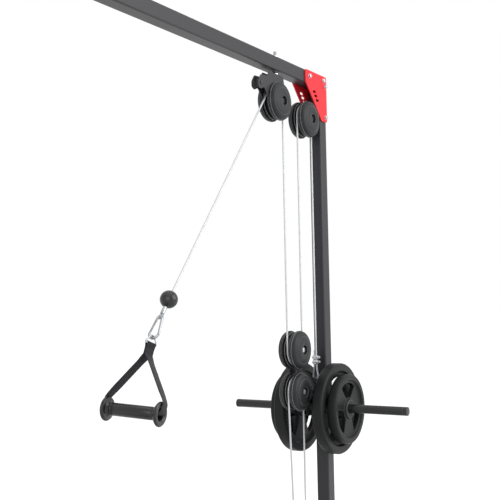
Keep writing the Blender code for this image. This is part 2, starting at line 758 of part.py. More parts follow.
def swivel_bolt():
    """The upright bolt that the front pulley turns on, with its nuts and washer run on."""
    nut_bottom, bridge_top, bridge_bottom = swivel_stack()
    shank = circle(0, 0, SWIVEL_RADIUS, 12)
    flats = hexagon(SWIVEL_NUT_ACROSS)
    washer = circle(0, 0, SWIVEL_WASHER_RADIUS, 12)
    head = bridge_bottom - GAP
    seat = BEAM_TOP + GAP
    nut_seat = seat + SWIVEL_WASHER_HEIGHT
    nut_top = nut_seat + SWIVEL_NUT_HEIGHT
    levels = [(flats, head - SWIVEL_HEAD_HEIGHT), (flats, head), (shank, head), (shank, nut_bottom),
              (flats, nut_bottom), (flats, BEAM_BOTTOM - GAP), (shank, BEAM_BOTTOM - GAP), (shank, seat),
              (washer, seat), (washer, nut_seat), (flats, nut_seat), (flats, nut_top),
              (shank, nut_top), (shank, nut_top + SWIVEL_END)]
    shaped("swivel_bolt", [placed(stacked(levels), (0, SWIVEL_Y, 0))], "zinc_steel",
           (0, SWIVEL_Y, BEAM_BOTTOM))


def front_pulley():
    """The swivelling yoke with the front wheel, its covers and axle, and the guide roller."""
    bridge_top, bridge_bottom = swivel_stack()[1:]
    top = bridge_top - YOKE_TOP_GAP
    y, z = FRONT_WHEEL.y, FRONT_WHEEL.z
    corners = [(y + YOKE_REAR_TOP, top), (y + YOKE_REAR, z + YOKE_REAR_RISE),
               (y + YOKE_FOOT_HALF, z - YOKE_FOOT_DROP), (y - YOKE_FOOT_HALF, z - YOKE_FOOT_DROP)]
    corners += [(y - forward, z + rise) for forward, rise in (YOKE_BELLY, YOKE_NOTCH)]
    corners += [(ROLLER.y - forward, ROLLER.z + rise) for forward, rise in YOKE_ROLLER_LUG]
    corners += [(y - YOKE_STEP[0], z + YOKE_STEP[1]), (y - YOKE_STEP_TOP, top)]
    outline = filleted(corners, YOKE_CORNER, 2)
    holes = [axle_hole(FRONT_WHEEL)]
    item = shaped("swivel_yoke", [cheek(outline, holes, 1)], "graphite_powder_coat",
                  (0, SWIVEL_Y, BEAM_BOTTOM))
    wide = CHEEK_OUTER - WELD
    bridge = sheet(rectangle(-wide, wide, SWIVEL_Y - BRIDGE_HALF_LENGTH, SWIVEL_Y + BRIDGE_HALF_LENGTH),
                   BRIDGE, ALONG_Z, bridge_bottom, [bolt_hole(0, SWIVEL_Y, SWIVEL_RADIUS)])
    pin_half = CHEEK_OUTER + ROLLER_PIN_STUB
    pin = rod(ROLLER - Vector((pin_half, 0, 0)), (1, 0, 0), 2 * pin_half, ROLLER_PIN_RADIUS)
    combine(item, [bridge, cheek(outline, holes, -1), pin], "UNION")
    dressed_pulley("front", FRONT_WHEEL)
    half = CHEEK_INNER - 2 * GAP
    profile = [(half, ROLLER_PIN_RADIUS + GAP), (half, ROLLER_RADIUS),
               (half - ROLLER_RIM_WIDTH, ROLLER_RADIUS), (ROLLER_WAIST_HALF, ROLLER_WAIST)]
    profile += [(-x, radius) for x, radius in reversed(profile)]
    shaped("guide_roller", [placed(turned(profile, GRIP_STEPS), ROLLER)], "black_rubber", ROLLER)


def floating_block():
    """The two-wheel block that hangs in both cables: two cheeks on a riveted spacer."""
    outline = hulled([(BLOCK_UPPER.y, BLOCK_UPPER.z, BLOCK_LUG_RADIUS),
                      (BLOCK_LOWER.y, BLOCK_LOWER.z, BLOCK_LUG_RADIUS)])
    holes = [axle_hole(BLOCK_UPPER), axle_hole(BLOCK_LOWER)]
    item = shaped("block_frame", [cheek(outline, holes, 1)], "graphite_powder_coat", BLOCK_UPPER)
    middle = (BLOCK_UPPER + BLOCK_LOWER) / 2
    rivet_half = CHEEK_OUTER + RIVET_STUB
    rivet = rod(middle - Vector((rivet_half, 0, 0)), (1, 0, 0), 2 * rivet_half, SPACER_RADIUS, 12)
    combine(item, [rivet, cheek(outline, holes, -1)], "UNION")
    dressed_pulley("block_upper", BLOCK_UPPER)
    dressed_pulley("block_lower", BLOCK_LOWER)


def carriage():
    """The sleeve on the upright with its welded plate bar, collars, shelf and cable eye."""
    bottom = BAR.z - SLEEVE_BELOW
    height = SLEEVE_BELOW + SLEEVE_ABOVE
    frame = shaped("carriage_frame", [square_ring(SLEEVE_INNER, SLEEVE_OUTER, height, bottom, SLEEVE_CORNER)],
                   "graphite_powder_coat", BAR)
    inner = SLEEVE_OUTER - WELD
    side_plate = filleted(rectangle(-CHEEK_FORWARD, HALF_TUBE, BAR.z - CHEEK_BELOW, BAR.z + CHEEK_ABOVE),
                          CHEEK_CORNER, 3)
    sides = [sheet(side_plate, CHEEK_PLATE, ALONG_X, inner),
             sheet(side_plate, CHEEK_PLATE, ALONG_X, -inner - CHEEK_PLATE)]
    shelf_z = BAR.z + SHELF_HEIGHT
    shelf = sheet(rectangle(-inner - WELD, inner + WELD, SHELF_INSET - CHEEK_FORWARD, -SLEEVE_INNER - WELD),
                  PLATE, ALONG_Z, shelf_z)
    eye = eye_centre()
    ring = arc(eye, EYE_RING_RADIUS, -90, 240, 12)
    shank = Vector((LOOP_X, CARRIAGE_LINE, shelf_z - EYE_ROOT))
    combine(frame, sides + [shelf, plate_bar(), wire_solid([shank] + ring, EYE_WIRE)], "UNION")
    liner = square_ring(PAD_INNER, PAD_INNER + PAD_WALL, height - 2 * RUN, bottom + RUN, TUBE_CORNER)
    shaped("slide_liner", [liner], "black_plastic", BAR)


def plate_bar():
    """The plate bar, a tube closed at both ends, with the two collars that stop the plates."""
    half = BAR_LENGTH / 2
    outer = PLATE_START - GAP
    inner = outer - COLLAR_WIDTH
    side = [(half, 0.0), (half, BAR_RADIUS), (outer, BAR_RADIUS), (outer, COLLAR_RADIUS),
            (inner, COLLAR_RADIUS), (inner, BAR_RADIUS)]
    profile = side + [(-x, radius) for x, radius in reversed(side)]
    return placed(turned(profile, ROD_STEPS + 4, hollow=False), BAR)


def eye_centre():
    """Centre of the carriage's eye."""
    return Vector((LOOP_X, CARRIAGE_LINE, BAR.z + EYE_RISE))


def tri_grip_plate(radius, width, rim, grip_gap, outer_x, side):
    """A weight plate with a raised rim and hub, and the cutter of its three grip openings."""
    half = width / 2
    web = WEB_WIDTH / 2
    face = [(half, PLATE_BORE), (half, HUB_RADIUS), (web, HUB_RADIUS + WEB_SLOPE),
            (web, radius - rim - WEB_SLOPE), (half, radius - rim), (half, radius)]
    profile = face + [(-x, r) for x, r in reversed(face)]
    centre = Vector((side * (outer_x - half), BAR.y, BAR.z - PLATE_BORE + BAR_RADIUS + GAP))
    disc = placed(turned(profile, DISC_STEPS), centre)
    inner = HUB_RADIUS + GRIP_INSET
    outer = inner + grip_gap
    spread = math.radians(GRIP_SPREAD)
    cutters = []
    for turn in range(3):
        middle = math.pi / 2 + 2 * math.pi / 3 * turn
        far = [middle - spread + 2 * spread * k / 4 for k in range(5)]
        near = [middle + spread * 0.7 - 1.4 * spread * k / 2 for k in range(3)]
        outline = [(outer * math.cos(a), outer * math.sin(a)) for a in far]
        outline += [(inner * math.cos(a), inner * math.sin(a)) for a in near]
        cutters.append(placed(sheet(outline, width + 2 * RUN, ALONG_X, -half - RUN), centre))
    return disc, merged(cutters)


def weight_plates():
    """A large and a small plate on each end of the bar."""
    large_outer = PLATE_START + LARGE_WIDTH
    small_outer = large_outer + GAP + SMALL_WIDTH
    for side, word in ((1, "right"), (-1, "left")):
        for name, radius, width, rim, gap, outer_x in (
                ("large_plate", LARGE_RADIUS, LARGE_WIDTH, RIM_SHARE_LARGE, GRIP_GAP_LARGE, large_outer),
                ("small_plate", SMALL_RADIUS, SMALL_WIDTH, RIM_SHARE_SMALL, GRIP_GAP_SMALL, small_outer)):
            disc, cutter = tri_grip_plate(radius, width, rim, gap, outer_x, side)
            item = shaped(f"{name}_{word}", [disc], "plate_iron", BAR)
            combine(item, [cutter], "DIFFERENCE")


def clip_levels():
    """Bottom heights of the upper and the lower wire rope clip."""
    top = BAR.z + CLIP_TOP_RISE
    return top - CLIP_HEIGHT, top - CLIP_HEIGHT - CLIP_SPACING


def cable_clips():
    """Two wire rope clips over the live cable and its tail, each with its two nuts on the +X side."""
    half_wide = CLIP_WIDTH / 2
    half_thick = CLIP_THICK / 2
    for word, z in zip(("upper", "lower"), clip_levels()):
        body = rectangle(LOOP_X - half_wide, LOOP_X + half_wide, CARRIAGE_LINE - half_thick,
                         CARRIAGE_LINE + half_thick)
        hole = slot(LOOP_X, CARRIAGE_LINE, 4 * CABLE_RADIUS + 6 * GAP, 2 * CABLE_RADIUS + 4 * GAP, 4)
        solid = sheet(filleted(body, CLIP_CORNER, 2), CLIP_HEIGHT, ALONG_Z, z, [hole])
        clip = shaped(f"{word}_cable_clip", [solid], "zinc_steel", (LOOP_X, CARRIAGE_LINE, z))
        nuts = []
        for side in (1, -1):
            seat = Vector((LOOP_X + half_wide - WELD, CARRIAGE_LINE + side * half_thick / 2,
                           z + CLIP_HEIGHT / 2))
            nuts.append(placed(sheet(hexagon(CLIP_NUT_ACROSS), CLIP_NUT_HEIGHT, ALONG_Z, 0.0), seat,
                               turned_to((1, 0, 0))))
        combine(clip, nuts, "UNION")


def carriage_loop():
    """The cable's end: down through the clips, round a loop through the eye, and up to the tail."""
    low_clip = clip_levels()[1]
    foot_z = eye_centre().z + EYE_RING_RADIUS - EYE_WIRE - GAP - CABLE_RADIUS
    offset = CABLE_RADIUS + GAP
    top = BAR.z + CLIP_TOP_RISE + TAIL_LENGTH
    start = low_clip - CLIP_EXIT
    side = LOOP_HALF_WIDTH
    turn_z = foot_z + side
    right = [(offset, top), (offset, start), (offset + 0.45 * (side - offset), (start + turn_z) / 2),
             (side, turn_z)]
    bend = [(side * math.cos(a), turn_z + side * math.sin(a))
            for a in (math.radians(-25 * k) for k in range(1, 7))]
    left = [(-u, z) for u, z in reversed(right[1:])] + [(-offset, top - TAIL_SHORT)]
    route = [Vector((LOOP_X + u, CARRIAGE_LINE, z)) for u, z in right + bend + left]
    wire("carriage_cable_loop", route, CABLE_RADIUS, "coated_cable", BAR)
    return top


def line_point(distance):
    """A point on the handle line, at a distance from where it leaves the front wheel."""
    normal = Vector((0, -math.cos(PULL_ANGLE), math.sin(PULL_ANGLE)))
    way = Vector((0, -math.sin(PULL_ANGLE), -math.cos(PULL_ANGLE)))
    return FRONT_WHEEL + normal * PITCH_RADIUS + way * distance


def cables(loop_top):
    """The upper cable in the pieces that move apart, and the lower cable whole."""
    r = PITCH_RADIUS
    side = Vector((0, r, 0))
    step = Vector((0, 0, CABLE_JOINT))
    carriage_top = REAR_WHEEL + side - step
    wire("carriage_strand", [carriage_top, Vector((0, CARRIAGE_LINE, loop_top + GAP))], CABLE_RADIUS,
         "coated_cable", carriage_top)
    wire("rear_cable_wrap", arc(REAR_WHEEL, r, 0, 180, 12), CABLE_RADIUS, "coated_cable", REAR_WHEEL)
    turn_point = FRONT_WHEEL + side - Vector((0, 0, TURN_STRAND))
    hanging = [REAR_WHEEL - side - step] + arc(BLOCK_UPPER, r, 0, -180, 12) + [turn_point - step]
    wire("block_upper_cable", hanging, CABLE_RADIUS, "coated_cable", BLOCK_UPPER)
    over = [turn_point] + arc(FRONT_WHEEL, r, 0, 180 - math.degrees(PULL_ANGLE), 10)
    wire("front_cable_wrap", over, CABLE_RADIUS, "coated_cable", (0, SWIVEL_Y, BEAM_BOTTOM))
    stud_top = ANCHOR + Vector((0, 0, STUD_LENGTH + GAP))
    leave = LOW_WHEEL - Vector((0, 0, r))
    ball_face = leave - Vector((0, LOW_STRAND_LENGTH - ball_flat() - GAP, 0))
    lower = [stud_top] + arc(BLOCK_LOWER, r, 0, 180, 12) + arc(LOW_WHEEL, r, 0, -90, 6) + [ball_face]
    wire("lower_cable", lower, CABLE_RADIUS, "coated_cable", BLOCK_LOWER)


def ball_flat():
    """Distance from a stop ball's centre to the flats that the cable passes through."""
    return math.sqrt(BALL_RADIUS ** 2 - FERRULE_RADIUS ** 2)


def stop_ball():
    """A ball with small flats where the cable goes in and out, along X."""
    tip = math.asin(FERRULE_RADIUS / BALL_RADIUS)
    angles = [tip + (math.pi - 2 * tip) * i / 8 for i in range(9)]
    profile = [(-BALL_RADIUS * math.cos(a), BALL_RADIUS * math.sin(a)) for a in angles]
    return turned([(profile[0][0], 0)] + profile + [(profile[-1][0], 0)], BALL_STEPS, hollow=False)


def towards(direction):
    """The rotation that takes +X to a direction in the YZ plane and keeps the other axis level."""
    way = Vector(direction).normalized()
    across = Vector((1, 0, 0))
    return Matrix((way, across, way.cross(across))).transposed().to_4x4()


def ferrule_and_eye(start, direction):
    """A crimped ferrule from start along direction, and the bent wire eye that grows out of it."""
    way = Vector(direction)
    ferrule = turned([(0, 0), (0, FERRULE_RADIUS), (FERRULE_LENGTH, FERRULE_RADIUS),
                      (FERRULE_LENGTH, 0)], ROD_STEPS, hollow=False)
    side = way.cross(Vector((1, 0, 0)))
    neck = EYE_LOOP_WIRE + GAP
    half = EYE_LOOP_HALF_WIDTH
    reach = FERRULE_LENGTH + EYE_LOOP_LENGTH - EYE_LOOP_WIRE - half
    bend = [(reach + half * math.sin(a), half * math.cos(a))
            for a in (math.radians(30 * k) for k in range(7))]
    root = FERRULE_LENGTH - EYE_LOOP_ROOT
    outline = [(root, neck), (FERRULE_LENGTH + EYE_LOOP_NECK, neck)] + bend
    outline += [(FERRULE_LENGTH + EYE_LOOP_NECK, -neck), (root, -neck)]
    route = [start + way * along + side * across for along, across in outline]
    return placed(ferrule, start, towards(way)), wire_solid(route, EYE_LOOP_WIRE)


def handle_line():
    """The upper handle: strand, stop ball, eye, snap hook, ring, strap and grip."""
    way = Vector((0, -math.sin(PULL_ANGLE), -math.cos(PULL_ANGLE)))
    ball_at = line_point(STRAND_LENGTH)
    wire("handle_strand", [line_point(CABLE_JOINT), ball_at - way * (ball_flat() + GAP)], CABLE_RADIUS,
         "coated_cable", FRONT_WHEEL)
    shaped("ball_stop", [placed(stop_ball(), ball_at, towards(way))], "black_plastic", ball_at)
    end_at = ball_at + way * (ball_flat() + GAP)
    ferrule, eye = ferrule_and_eye(end_at, way)
    item = shaped("cable_end_eye", [ferrule], "zinc_steel", end_at)
    combine(item, [eye], "UNION")
    eye_low = end_at + way * (FERRULE_LENGTH + EYE_LOOP_LENGTH - EYE_LOOP_WIRE)
    hook_way = Vector((0, -math.sin(HOOK_ANGLE), -math.cos(HOOK_ANGLE)))
    hook_top = eye_low - hook_way * (EYE_LOOP_WIRE + HOOK_WIRE + GAP)
    body, gate = hook_routes(hook_top, hook_way)
    wire("carabiner", body, HOOK_WIRE, "zinc_steel", hook_top)
    wire("carabiner_gate", gate, GATE_WIRE, "zinc_steel", gate[0])
    handle(hook_top + hook_way * (HOOK_LENGTH - 2 * HOOK_WIRE))


def hook_routes(top, way):
    """A pear shaped snap hook below top: its body's route, and its gate's."""
    across = Vector((1, 0, 0))
    upper = HOOK_TOP_RADIUS
    lower = HOOK_FOOT_RADIUS
    straight = HOOK_LENGTH - 2 * HOOK_WIRE - upper - lower
    tilt = math.asin((lower - upper) / straight)
    over = [(upper - upper * math.cos(b), upper * math.sin(b))
            for b in [-(math.pi / 2 - tilt) + (math.pi - 2 * tilt) * k / 6 for k in range(7)]]
    under = [(upper + straight + lower * math.cos(b), lower * math.sin(b))
             for b in [(math.pi / 2 + tilt) - (math.pi + 2 * tilt) * k / 8 for k in range(9)]]
    body = [top + way * along + across * sideways for along, sideways in over + under]
    slack = (body[-1] - body[0]).normalized() * GATE_SLACK
    return body, [body[0] + slack, body[-1] - slack]


def handle(hook_low):
    """The ring on the hook, the webbing loop through it, and the grip on the webbing."""
    down = Vector((0, -math.sin(HANDLE_ANGLE), -math.cos(HANDLE_ANGLE)))
    level = Vector((math.cos(GRIP_TURN), math.sin(GRIP_TURN), 0))
    level = (level - down * level.dot(down)).normalized()
    wide = level.cross(down)
    ring_top = hook_low - down * (HOOK_WIRE + RING_WIRE + GAP)
    half = RING_HALF_WIDTH
    bar_depth = RING_HEIGHT - 2 * RING_WIRE
    outline = filleted([(0.0, -RING_SHOULDER), (0.0, RING_SHOULDER), (bar_depth, half), (bar_depth, -half)],
                       RING_CORNER, 4)
    route = [ring_top + down * u + wide * v for u, v in outline]
    wire("handle_ring", route, RING_WIRE, "zinc_steel", ring_top, closed=True)
    bar_at = ring_top + down * bar_depth
    strap(bar_at, level, down, wide)
    grip(bar_at + down * STRAP_DROP, level)


def offset_route(route, distance):
    """A closed flat route moved sideways by a distance."""
    moved = []
    count = len(route)
    for i in range(count):
        before = (Vector(route[i]) - Vector(route[i - 1])).normalized()
        after = (Vector(route[(i + 1) % count]) - Vector(route[i])).normalized()
        mean = (before + after).normalized()
        reach = distance / max(0.5, mean.dot(before))
        moved.append((route[i][0] + mean.y * reach, route[i][1] - mean.x * reach))
    return moved


def strap(bar_at, level, down, wide):
    """One closed loop of webbing: round the ring's bar, down both sides and through the grip."""
    thick = STRAP_THICK
    bend = RING_WIRE + GAP + thick / 2
    layer = thick / 2 + GAP
    outside = GRIP_HALF_LENGTH + GAP + RUN + thick / 2
    level_at = STRAP_DROP - FLANGE_RADIUS
    right = [(layer, STRAP_NECK * 0.45), (layer, STRAP_NECK), (STRAP_FLARE, STRAP_NECK + STRAP_FLARE),
             (outside - STRAP_BEND, level_at - STRAP_BEND), (outside, level_at + STRAP_BEND),
             (outside, STRAP_DROP - STRAP_MOUTH), (outside - STRAP_TURN, STRAP_DROP - STRAP_TURN),
             (outside - STRAP_MOUTH, STRAP_DROP)]
    over = [(bend * math.sin(a), -bend * math.cos(a))
            for a in (math.radians(-125 + 250 * k / 8) for k in range(9))]
    centre = over + right + [(-u, v) for u, v in reversed(right)]
    band = sheet(offset_route(centre, -thick / 2), STRAP_WIDTH, ALONG_Z, -STRAP_WIDTH / 2,
                 [offset_route(centre, thick / 2)])
    turn = Matrix((level, down, wide)).transposed().to_4x4()
    shaped("handle_strap", [placed(band, bar_at, turn)], "black_webbing", bar_at)


def grip(centre, level):
    """A tube with flanged ends, free to spin on the webbing, in a rubber sleeve."""
    end = GRIP_HALF_LENGTH
    inner = end - FLANGE_WIDTH
    neck = inner - GRIP_NECK
    half = [(end - GRIP_MOUTH_DEPTH, GRIP_BORE), (end, FLANGE_MOUTH), (end, FLANGE_RADIUS - FLANGE_EDGE),
            (end - FLANGE_FACE, FLANGE_RADIUS), (inner, FLANGE_RADIUS - FLANGE_DRAFT),
            (neck, GRIP_CORE_RADIUS)]
    profile = half + [(-x, radius) for x, radius in reversed(half)]
    turn = Vector(level).to_track_quat("X", "Z").to_matrix().to_4x4()
    shaped("grip_core", [placed(turned(profile, GRIP_STEPS), centre, turn)], "black_plastic", centre)
    reach = neck - GAP
    sleeve = [(-reach, GRIP_CORE_RADIUS + GAP), (-reach, GRIP_RADIUS), (reach, GRIP_RADIUS),
              (reach, GRIP_CORE_RADIUS + GAP)]
    shaped("grip_sleeve", [placed(turned(sleeve, GRIP_STEPS), centre, turn)], "black_rubber", centre)


def low_cable_stop():
    """The lower cable's free end: a stop ball with its ferrule and eye pressed in."""
    way = Vector((0, -1, 0))
    ball_at = LOW_WHEEL - Vector((0, 0, PITCH_RADIUS)) + way * LOW_STRAND_LENGTH
    item = shaped("low_cable_stop", [placed(stop_ball(), ball_at, towards(way))], "black_plastic", ball_at)
    combine(item, list(ferrule_and_eye(ball_at + way * (ball_flat() - FERRULE_PRESS), way)), "UNION")


def buffer():
    """A rubber ring round the upright that the carriage comes down on, seated on the base ribs."""
    ring = square_ring(HALF_TUBE + GAP, HALF_TUBE + BUFFER_WALL, BUFFER_HEIGHT, RIB_TOP + GAP, TUBE_CORNER)
    shaped("carriage_buffer", [ring], "black_rubber")


def main():
    for item in list(bpy.data.objects):
        bpy.data.objects.remove(item)
    frame_tubes()
    corner_plates()
    fixed_pulleys()
    swivel_bolt()
    front_pulley()
    floating_block()
    carriage()
    weight_plates()
    cable_clips()
    cables(carriage_loop())
    handle_line()
    low_cable_stop()
    buffer()


main()
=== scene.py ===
"""Dresses a plate loaded cable station.

Every surface gets its finish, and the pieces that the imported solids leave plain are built. The frame stands
on z = 0 under the main upright, the beam runs along -Y and the plate bar along X.
"""
import math

import bmesh
import bpy
from bpy.props import FloatProperty, FloatVectorProperty, IntProperty, PointerProperty
from mathutils import Matrix, Vector


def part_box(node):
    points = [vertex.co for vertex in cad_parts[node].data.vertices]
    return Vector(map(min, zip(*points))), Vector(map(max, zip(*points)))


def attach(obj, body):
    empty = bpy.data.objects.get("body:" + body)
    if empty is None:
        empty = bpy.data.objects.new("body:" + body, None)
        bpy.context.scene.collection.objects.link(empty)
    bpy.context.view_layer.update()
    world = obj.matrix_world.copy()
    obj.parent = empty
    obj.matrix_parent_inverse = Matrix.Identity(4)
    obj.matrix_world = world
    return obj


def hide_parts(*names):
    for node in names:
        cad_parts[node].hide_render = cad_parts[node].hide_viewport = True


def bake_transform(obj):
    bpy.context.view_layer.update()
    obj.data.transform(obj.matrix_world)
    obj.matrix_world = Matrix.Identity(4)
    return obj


bl_info = {
    "name": "Cable Station",
    "version": (1, 0, 0),
    "blender": (4, 5, 0),
    "location": "View3D > Sidebar > Station",
    "description": "Builds the finishes, pulleys, plates, cables and handle of a cable station",
    "category": "Object",
}

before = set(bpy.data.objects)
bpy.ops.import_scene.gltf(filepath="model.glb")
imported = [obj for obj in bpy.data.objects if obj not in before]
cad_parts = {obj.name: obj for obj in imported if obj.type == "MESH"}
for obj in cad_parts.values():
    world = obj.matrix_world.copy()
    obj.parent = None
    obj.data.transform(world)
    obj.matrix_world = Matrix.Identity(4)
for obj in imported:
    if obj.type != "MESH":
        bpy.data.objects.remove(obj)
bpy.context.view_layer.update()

# Running gap between touching pieces, as in the solids
GAP = 0.0003
# Angle above which an edge is drawn sharp, on turned shapes and on flat sheets
CREASE = math.radians(35)
SHEET_CREASE = math.radians(20)
# Face attribute that is 1 on the narrow strips of a rounded edge, where a highlight is painted
EDGE = "worn_edge"
# Pale tone painted on those strips as a highlight
EDGE_HIGHLIGHT_TONE = (0.50, 0.50, 0.51, 1)


def middle(node):
    """Centre of a CAD node's box."""
    low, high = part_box(node)
    return (Vector(low) + Vector(high)) / 2


def extent(node):
    """Size of a CAD node's box along x, y and z."""
    low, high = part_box(node)
    return Vector(high) - Vector(low)


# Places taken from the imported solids
REAR_WHEEL = middle("rear_wheel")
FRONT_WHEEL = middle("front_wheel")
BLOCK_UPPER = middle("block_upper_wheel")
BLOCK_LOWER = middle("block_lower_wheel")
LOW_WHEEL = middle("low_wheel")
ROLLER = middle("guide_roller")
BALL = middle("ball_stop")
SWIVEL = middle("swivel_bolt")
PLATE_CENTRE = middle("large_plate_right")
TUBE = extent("top_beam").x
BEAM_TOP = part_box("top_beam")[1][2]
BEAM_BOTTOM = BEAM_TOP - TUBE
FOOT_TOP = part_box("main_foot")[1][2]
POSTS = (("main_upright", "main_foot"), ("end_post", "end_foot"))
WHEEL_WIDTH = extent("rear_wheel").x
COVER_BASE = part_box("front_cover_right")[0][0]
COVER_DEPTH = extent("front_cover_right").x
COVER_RADIUS = extent("front_cover_right").z / 2
CARRIAGE_LINE = middle("carriage_strand").y

# How the line, the hook and the handle hang, as angles from straight down towards the user
PULL_ANGLE = math.radians(39.0)
HOOK_ANGLE = math.radians(33.0)
HANDLE_ANGLE = math.radians(24.0)
GRIP_TURN = math.radians(10.0)
# How far the strap is turned at distances below the ring's bar
STRAP_TWIST = math.radians(26.0)
TWIST = ((0.000, STRAP_TWIST), (0.028, STRAP_TWIST), (0.052, math.radians(9.0)),
         (0.118, math.radians(9.0)), (0.150, 0.0))


def hanging(angle):
    """The direction that hangs at that angle from straight down, towards the user."""
    return Vector((0, -math.sin(angle), -math.cos(angle)))


PULL = hanging(PULL_ANGLE)
ACROSS = Vector((1, 0, 0))


def linear(code):
    """Linear red, green and blue of an sRGB hex colour."""
    parts = [int(code[i:i + 2], 16) / 255 for i in (1, 3, 5)]
    return tuple(c / 12.92 if c <= 0.04045 else ((c + 0.055) / 1.055) ** 2.4 for c in parts)


def length(name, description, default):
    """A property that holds a length in metres."""
    return FloatProperty(name=name, description=description, default=default, unit="LENGTH", precision=5)


def colour(name, description, code):
    """A property that holds a colour, its default an sRGB hex code."""
    return FloatVectorProperty(name=name, description=description, default=linear(code), subtype="COLOR",
                               size=3, min=0.0, max=1.0)


def count(name, description, default):
    """A property that holds a whole number."""
    return IntProperty(name=name, description=description, default=default, min=3)


class StationColours(bpy.types.PropertyGroup):
    """Colours of the station's finishes."""
    graphite: colour("Graphite", "Powder coat of the tubes and brackets", "#2E2E31")
    red: colour("Red", "Powder coat of the corner plates", "#E82A34")
    zinc: colour("Zinc", "Plated bolts and clips", "#C4C6C9")
    nickel: colour("Nickel", "Plated hook, ring and eyes", "#9FA1A4")
    plastic: colour("Plastic", "Moulded covers and caps", "#202123")
    # The wheels' bright flange edges are a painted highlight
    wheel: colour("Wheel", "Turned wheels, their flanges rubbed bright", "#131314")
    plate: colour("Plate", "Coating of the weight plates", "#18191A")
    bar: colour("Bar", "Gloss coat of the plate bar and the upper pulleys' bolts", "#1A1B1C")
    grip: colour("Grip", "Polished skin of the grip, the stop balls and the bar's caps", "#19191B")
    rubber: colour("Rubber", "Roller, pads and buffer", "#161617")
    cable: colour("Cable", "Steel cable under its clear sheath", "#BDBFC2")
    webbing: colour("Webbing", "Woven strap of the handle", "#202024")
    thread: colour("Thread", "Stitching of the strap", "#2C2C30")
    floor: colour("Floor", "Floor under the station", "#F0F0EF")


class PulleySizes(bpy.types.PropertyGroup):
    """Sizes of the pulleys, their covers and the guide roller."""
    pitch: length("Pitch radius", "Radius of the cable's centre line on a wheel", 0.049)
    wheel: length("Wheel radius", "Outside radius of a wheel's flanges", extent("rear_wheel").z / 2)
    bore: length("Bore radius", "Radius of the hole round the axle", 0.0053)
    step: length("Ring radius", "Radius of the fine ring round a cover's dome", 0.044)
    hub: length("Hub radius", "Radius where a cover's dome turns flat", 0.032)
    pocket: length("Pocket radius", "Radius of the pocket that holds the bolt head", 0.0155)
    pocket_depth: length("Pocket depth", "Depth of that pocket", 0.011)
    cheek: length("Cheek thickness", "Thickness of a bracket's side plate", 0.003)
    yoke_corner: length("Yoke corner", "Corner radius of the swivel yoke's outline", 0.008)
    steps: count("Steps", "Faces round a wheel or a cover", 72)


class CableSizes(bpy.types.PropertyGroup):
    """Sizes of the cables."""
    radius: length("Radius", "Outside radius of the sheathed cable", 0.003)
    spacing: length("Spacing", "Distance between the rings of a cable's mesh", 0.012)
    turn_strand: length("Turning strand", "Length under the front wheel that sways with the swivel", 0.300)


class FastenerSizes(bpy.types.PropertyGroup):
    """Sizes of the bolts and nuts."""
    bolt: length("Bolt radius", "Shank radius of a frame bolt", 0.004)
    across: length("Across flats", "Width of a frame bolt's head across its flats", 0.013)
    head: length("Head height", "Height of a frame bolt's head", 0.0055)
    nut: length("Nut height", "Height of a nut", 0.0065)
    stub: length("Stub", "Length of thread beyond a nut", 0.002)
    washer: length("Washer radius", "Outside radius of a frame bolt's washer", 0.0082)
    washer_height: length("Washer height", "Thickness of a washer", 0.0012)
    axle: length("Axle radius", "Shank radius of a pulley's bolt", 0.005)
    axle_across: length("Axle across flats", "Width of a pulley bolt's head", 0.016)
    swivel_across: length("Swivel across flats", "Width of the swivel's nuts", 0.017)


class PlateSizes(bpy.types.PropertyGroup):
    """Sizes of the weight plates and of the bar that they hang on."""
    bore: length("Bore radius", "Radius of a plate's hole", 0.0155)
    bar: length("Bar radius", "Radius of the plate bar", 0.014)
    hub: length("Hub radius", "Radius of a plate's raised hub", 0.030)
    web: length("Web thickness", "Thickness of a plate between rim and hub", 0.014)
    large_rim: length("Large rim", "Width of the large plate's raised rim", 0.026)
    small_rim: length("Small rim", "Width of the small plate's raised rim", 0.020)
    grip_start: length("Opening start", "Distance from the hub to the grip openings", 0.007)
    large_grip: length("Large opening", "Height of the large plate's grip openings", 0.068)
    small_grip: length("Small opening", "Height of the small plate's grip openings", 0.049)
    rounding: length("Rounding", "Radius of a plate's outer edges", 0.0060)
    steps: count("Steps", "Faces round a plate", 96)


class HandleSizes(bpy.types.PropertyGroup):
    """Sizes of the handle and of what it hangs on."""
    ball: length("Ball radius", "Radius of the stop ball", 0.024)
    ferrule: length("Ferrule radius", "Radius of the swaged ferrule", 0.0055)
    ferrule_length: length("Ferrule length", "Length of the ferrule", 0.024)
    eye: length("Eye length", "Length of the eye under the ferrule", 0.018)
    eye_half: length("Eye half width", "Half of the eye's width", 0.0070)
    eye_wire: length("Eye wire", "Radius of the eye's wire", 0.0022)
    hook_wire: length("Hook wire", "Radius of the snap hook's wire", 0.0036)
    hook_length: length("Hook length", "Outside length of the snap hook", 0.072)
    ring_wire: length("Ring wire", "Radius of the ring's wire", 0.0024)
    ring_height: length("Ring height", "Outside height of the ring", 0.026)
    ring_half: length("Ring half width", "Half of the ring's width between wire centres", 0.0185)
    strap_width: length("Strap width", "Width of the webbing", 0.026)
    strap_thick: length("Strap thickness", "Thickness of the webbing", 0.0024)
    strap_drop: length("Strap drop", "Distance from the ring's bar to the grip's axis", 0.177)
    grip_half: length("Grip half length", "Half of the grip's length", 0.080)
    flange: length("Flange radius", "Outside radius of the grip's flanges", 0.031)
    sleeve: length("Sleeve radius", "Outside radius of the grip's sleeve", 0.0165)


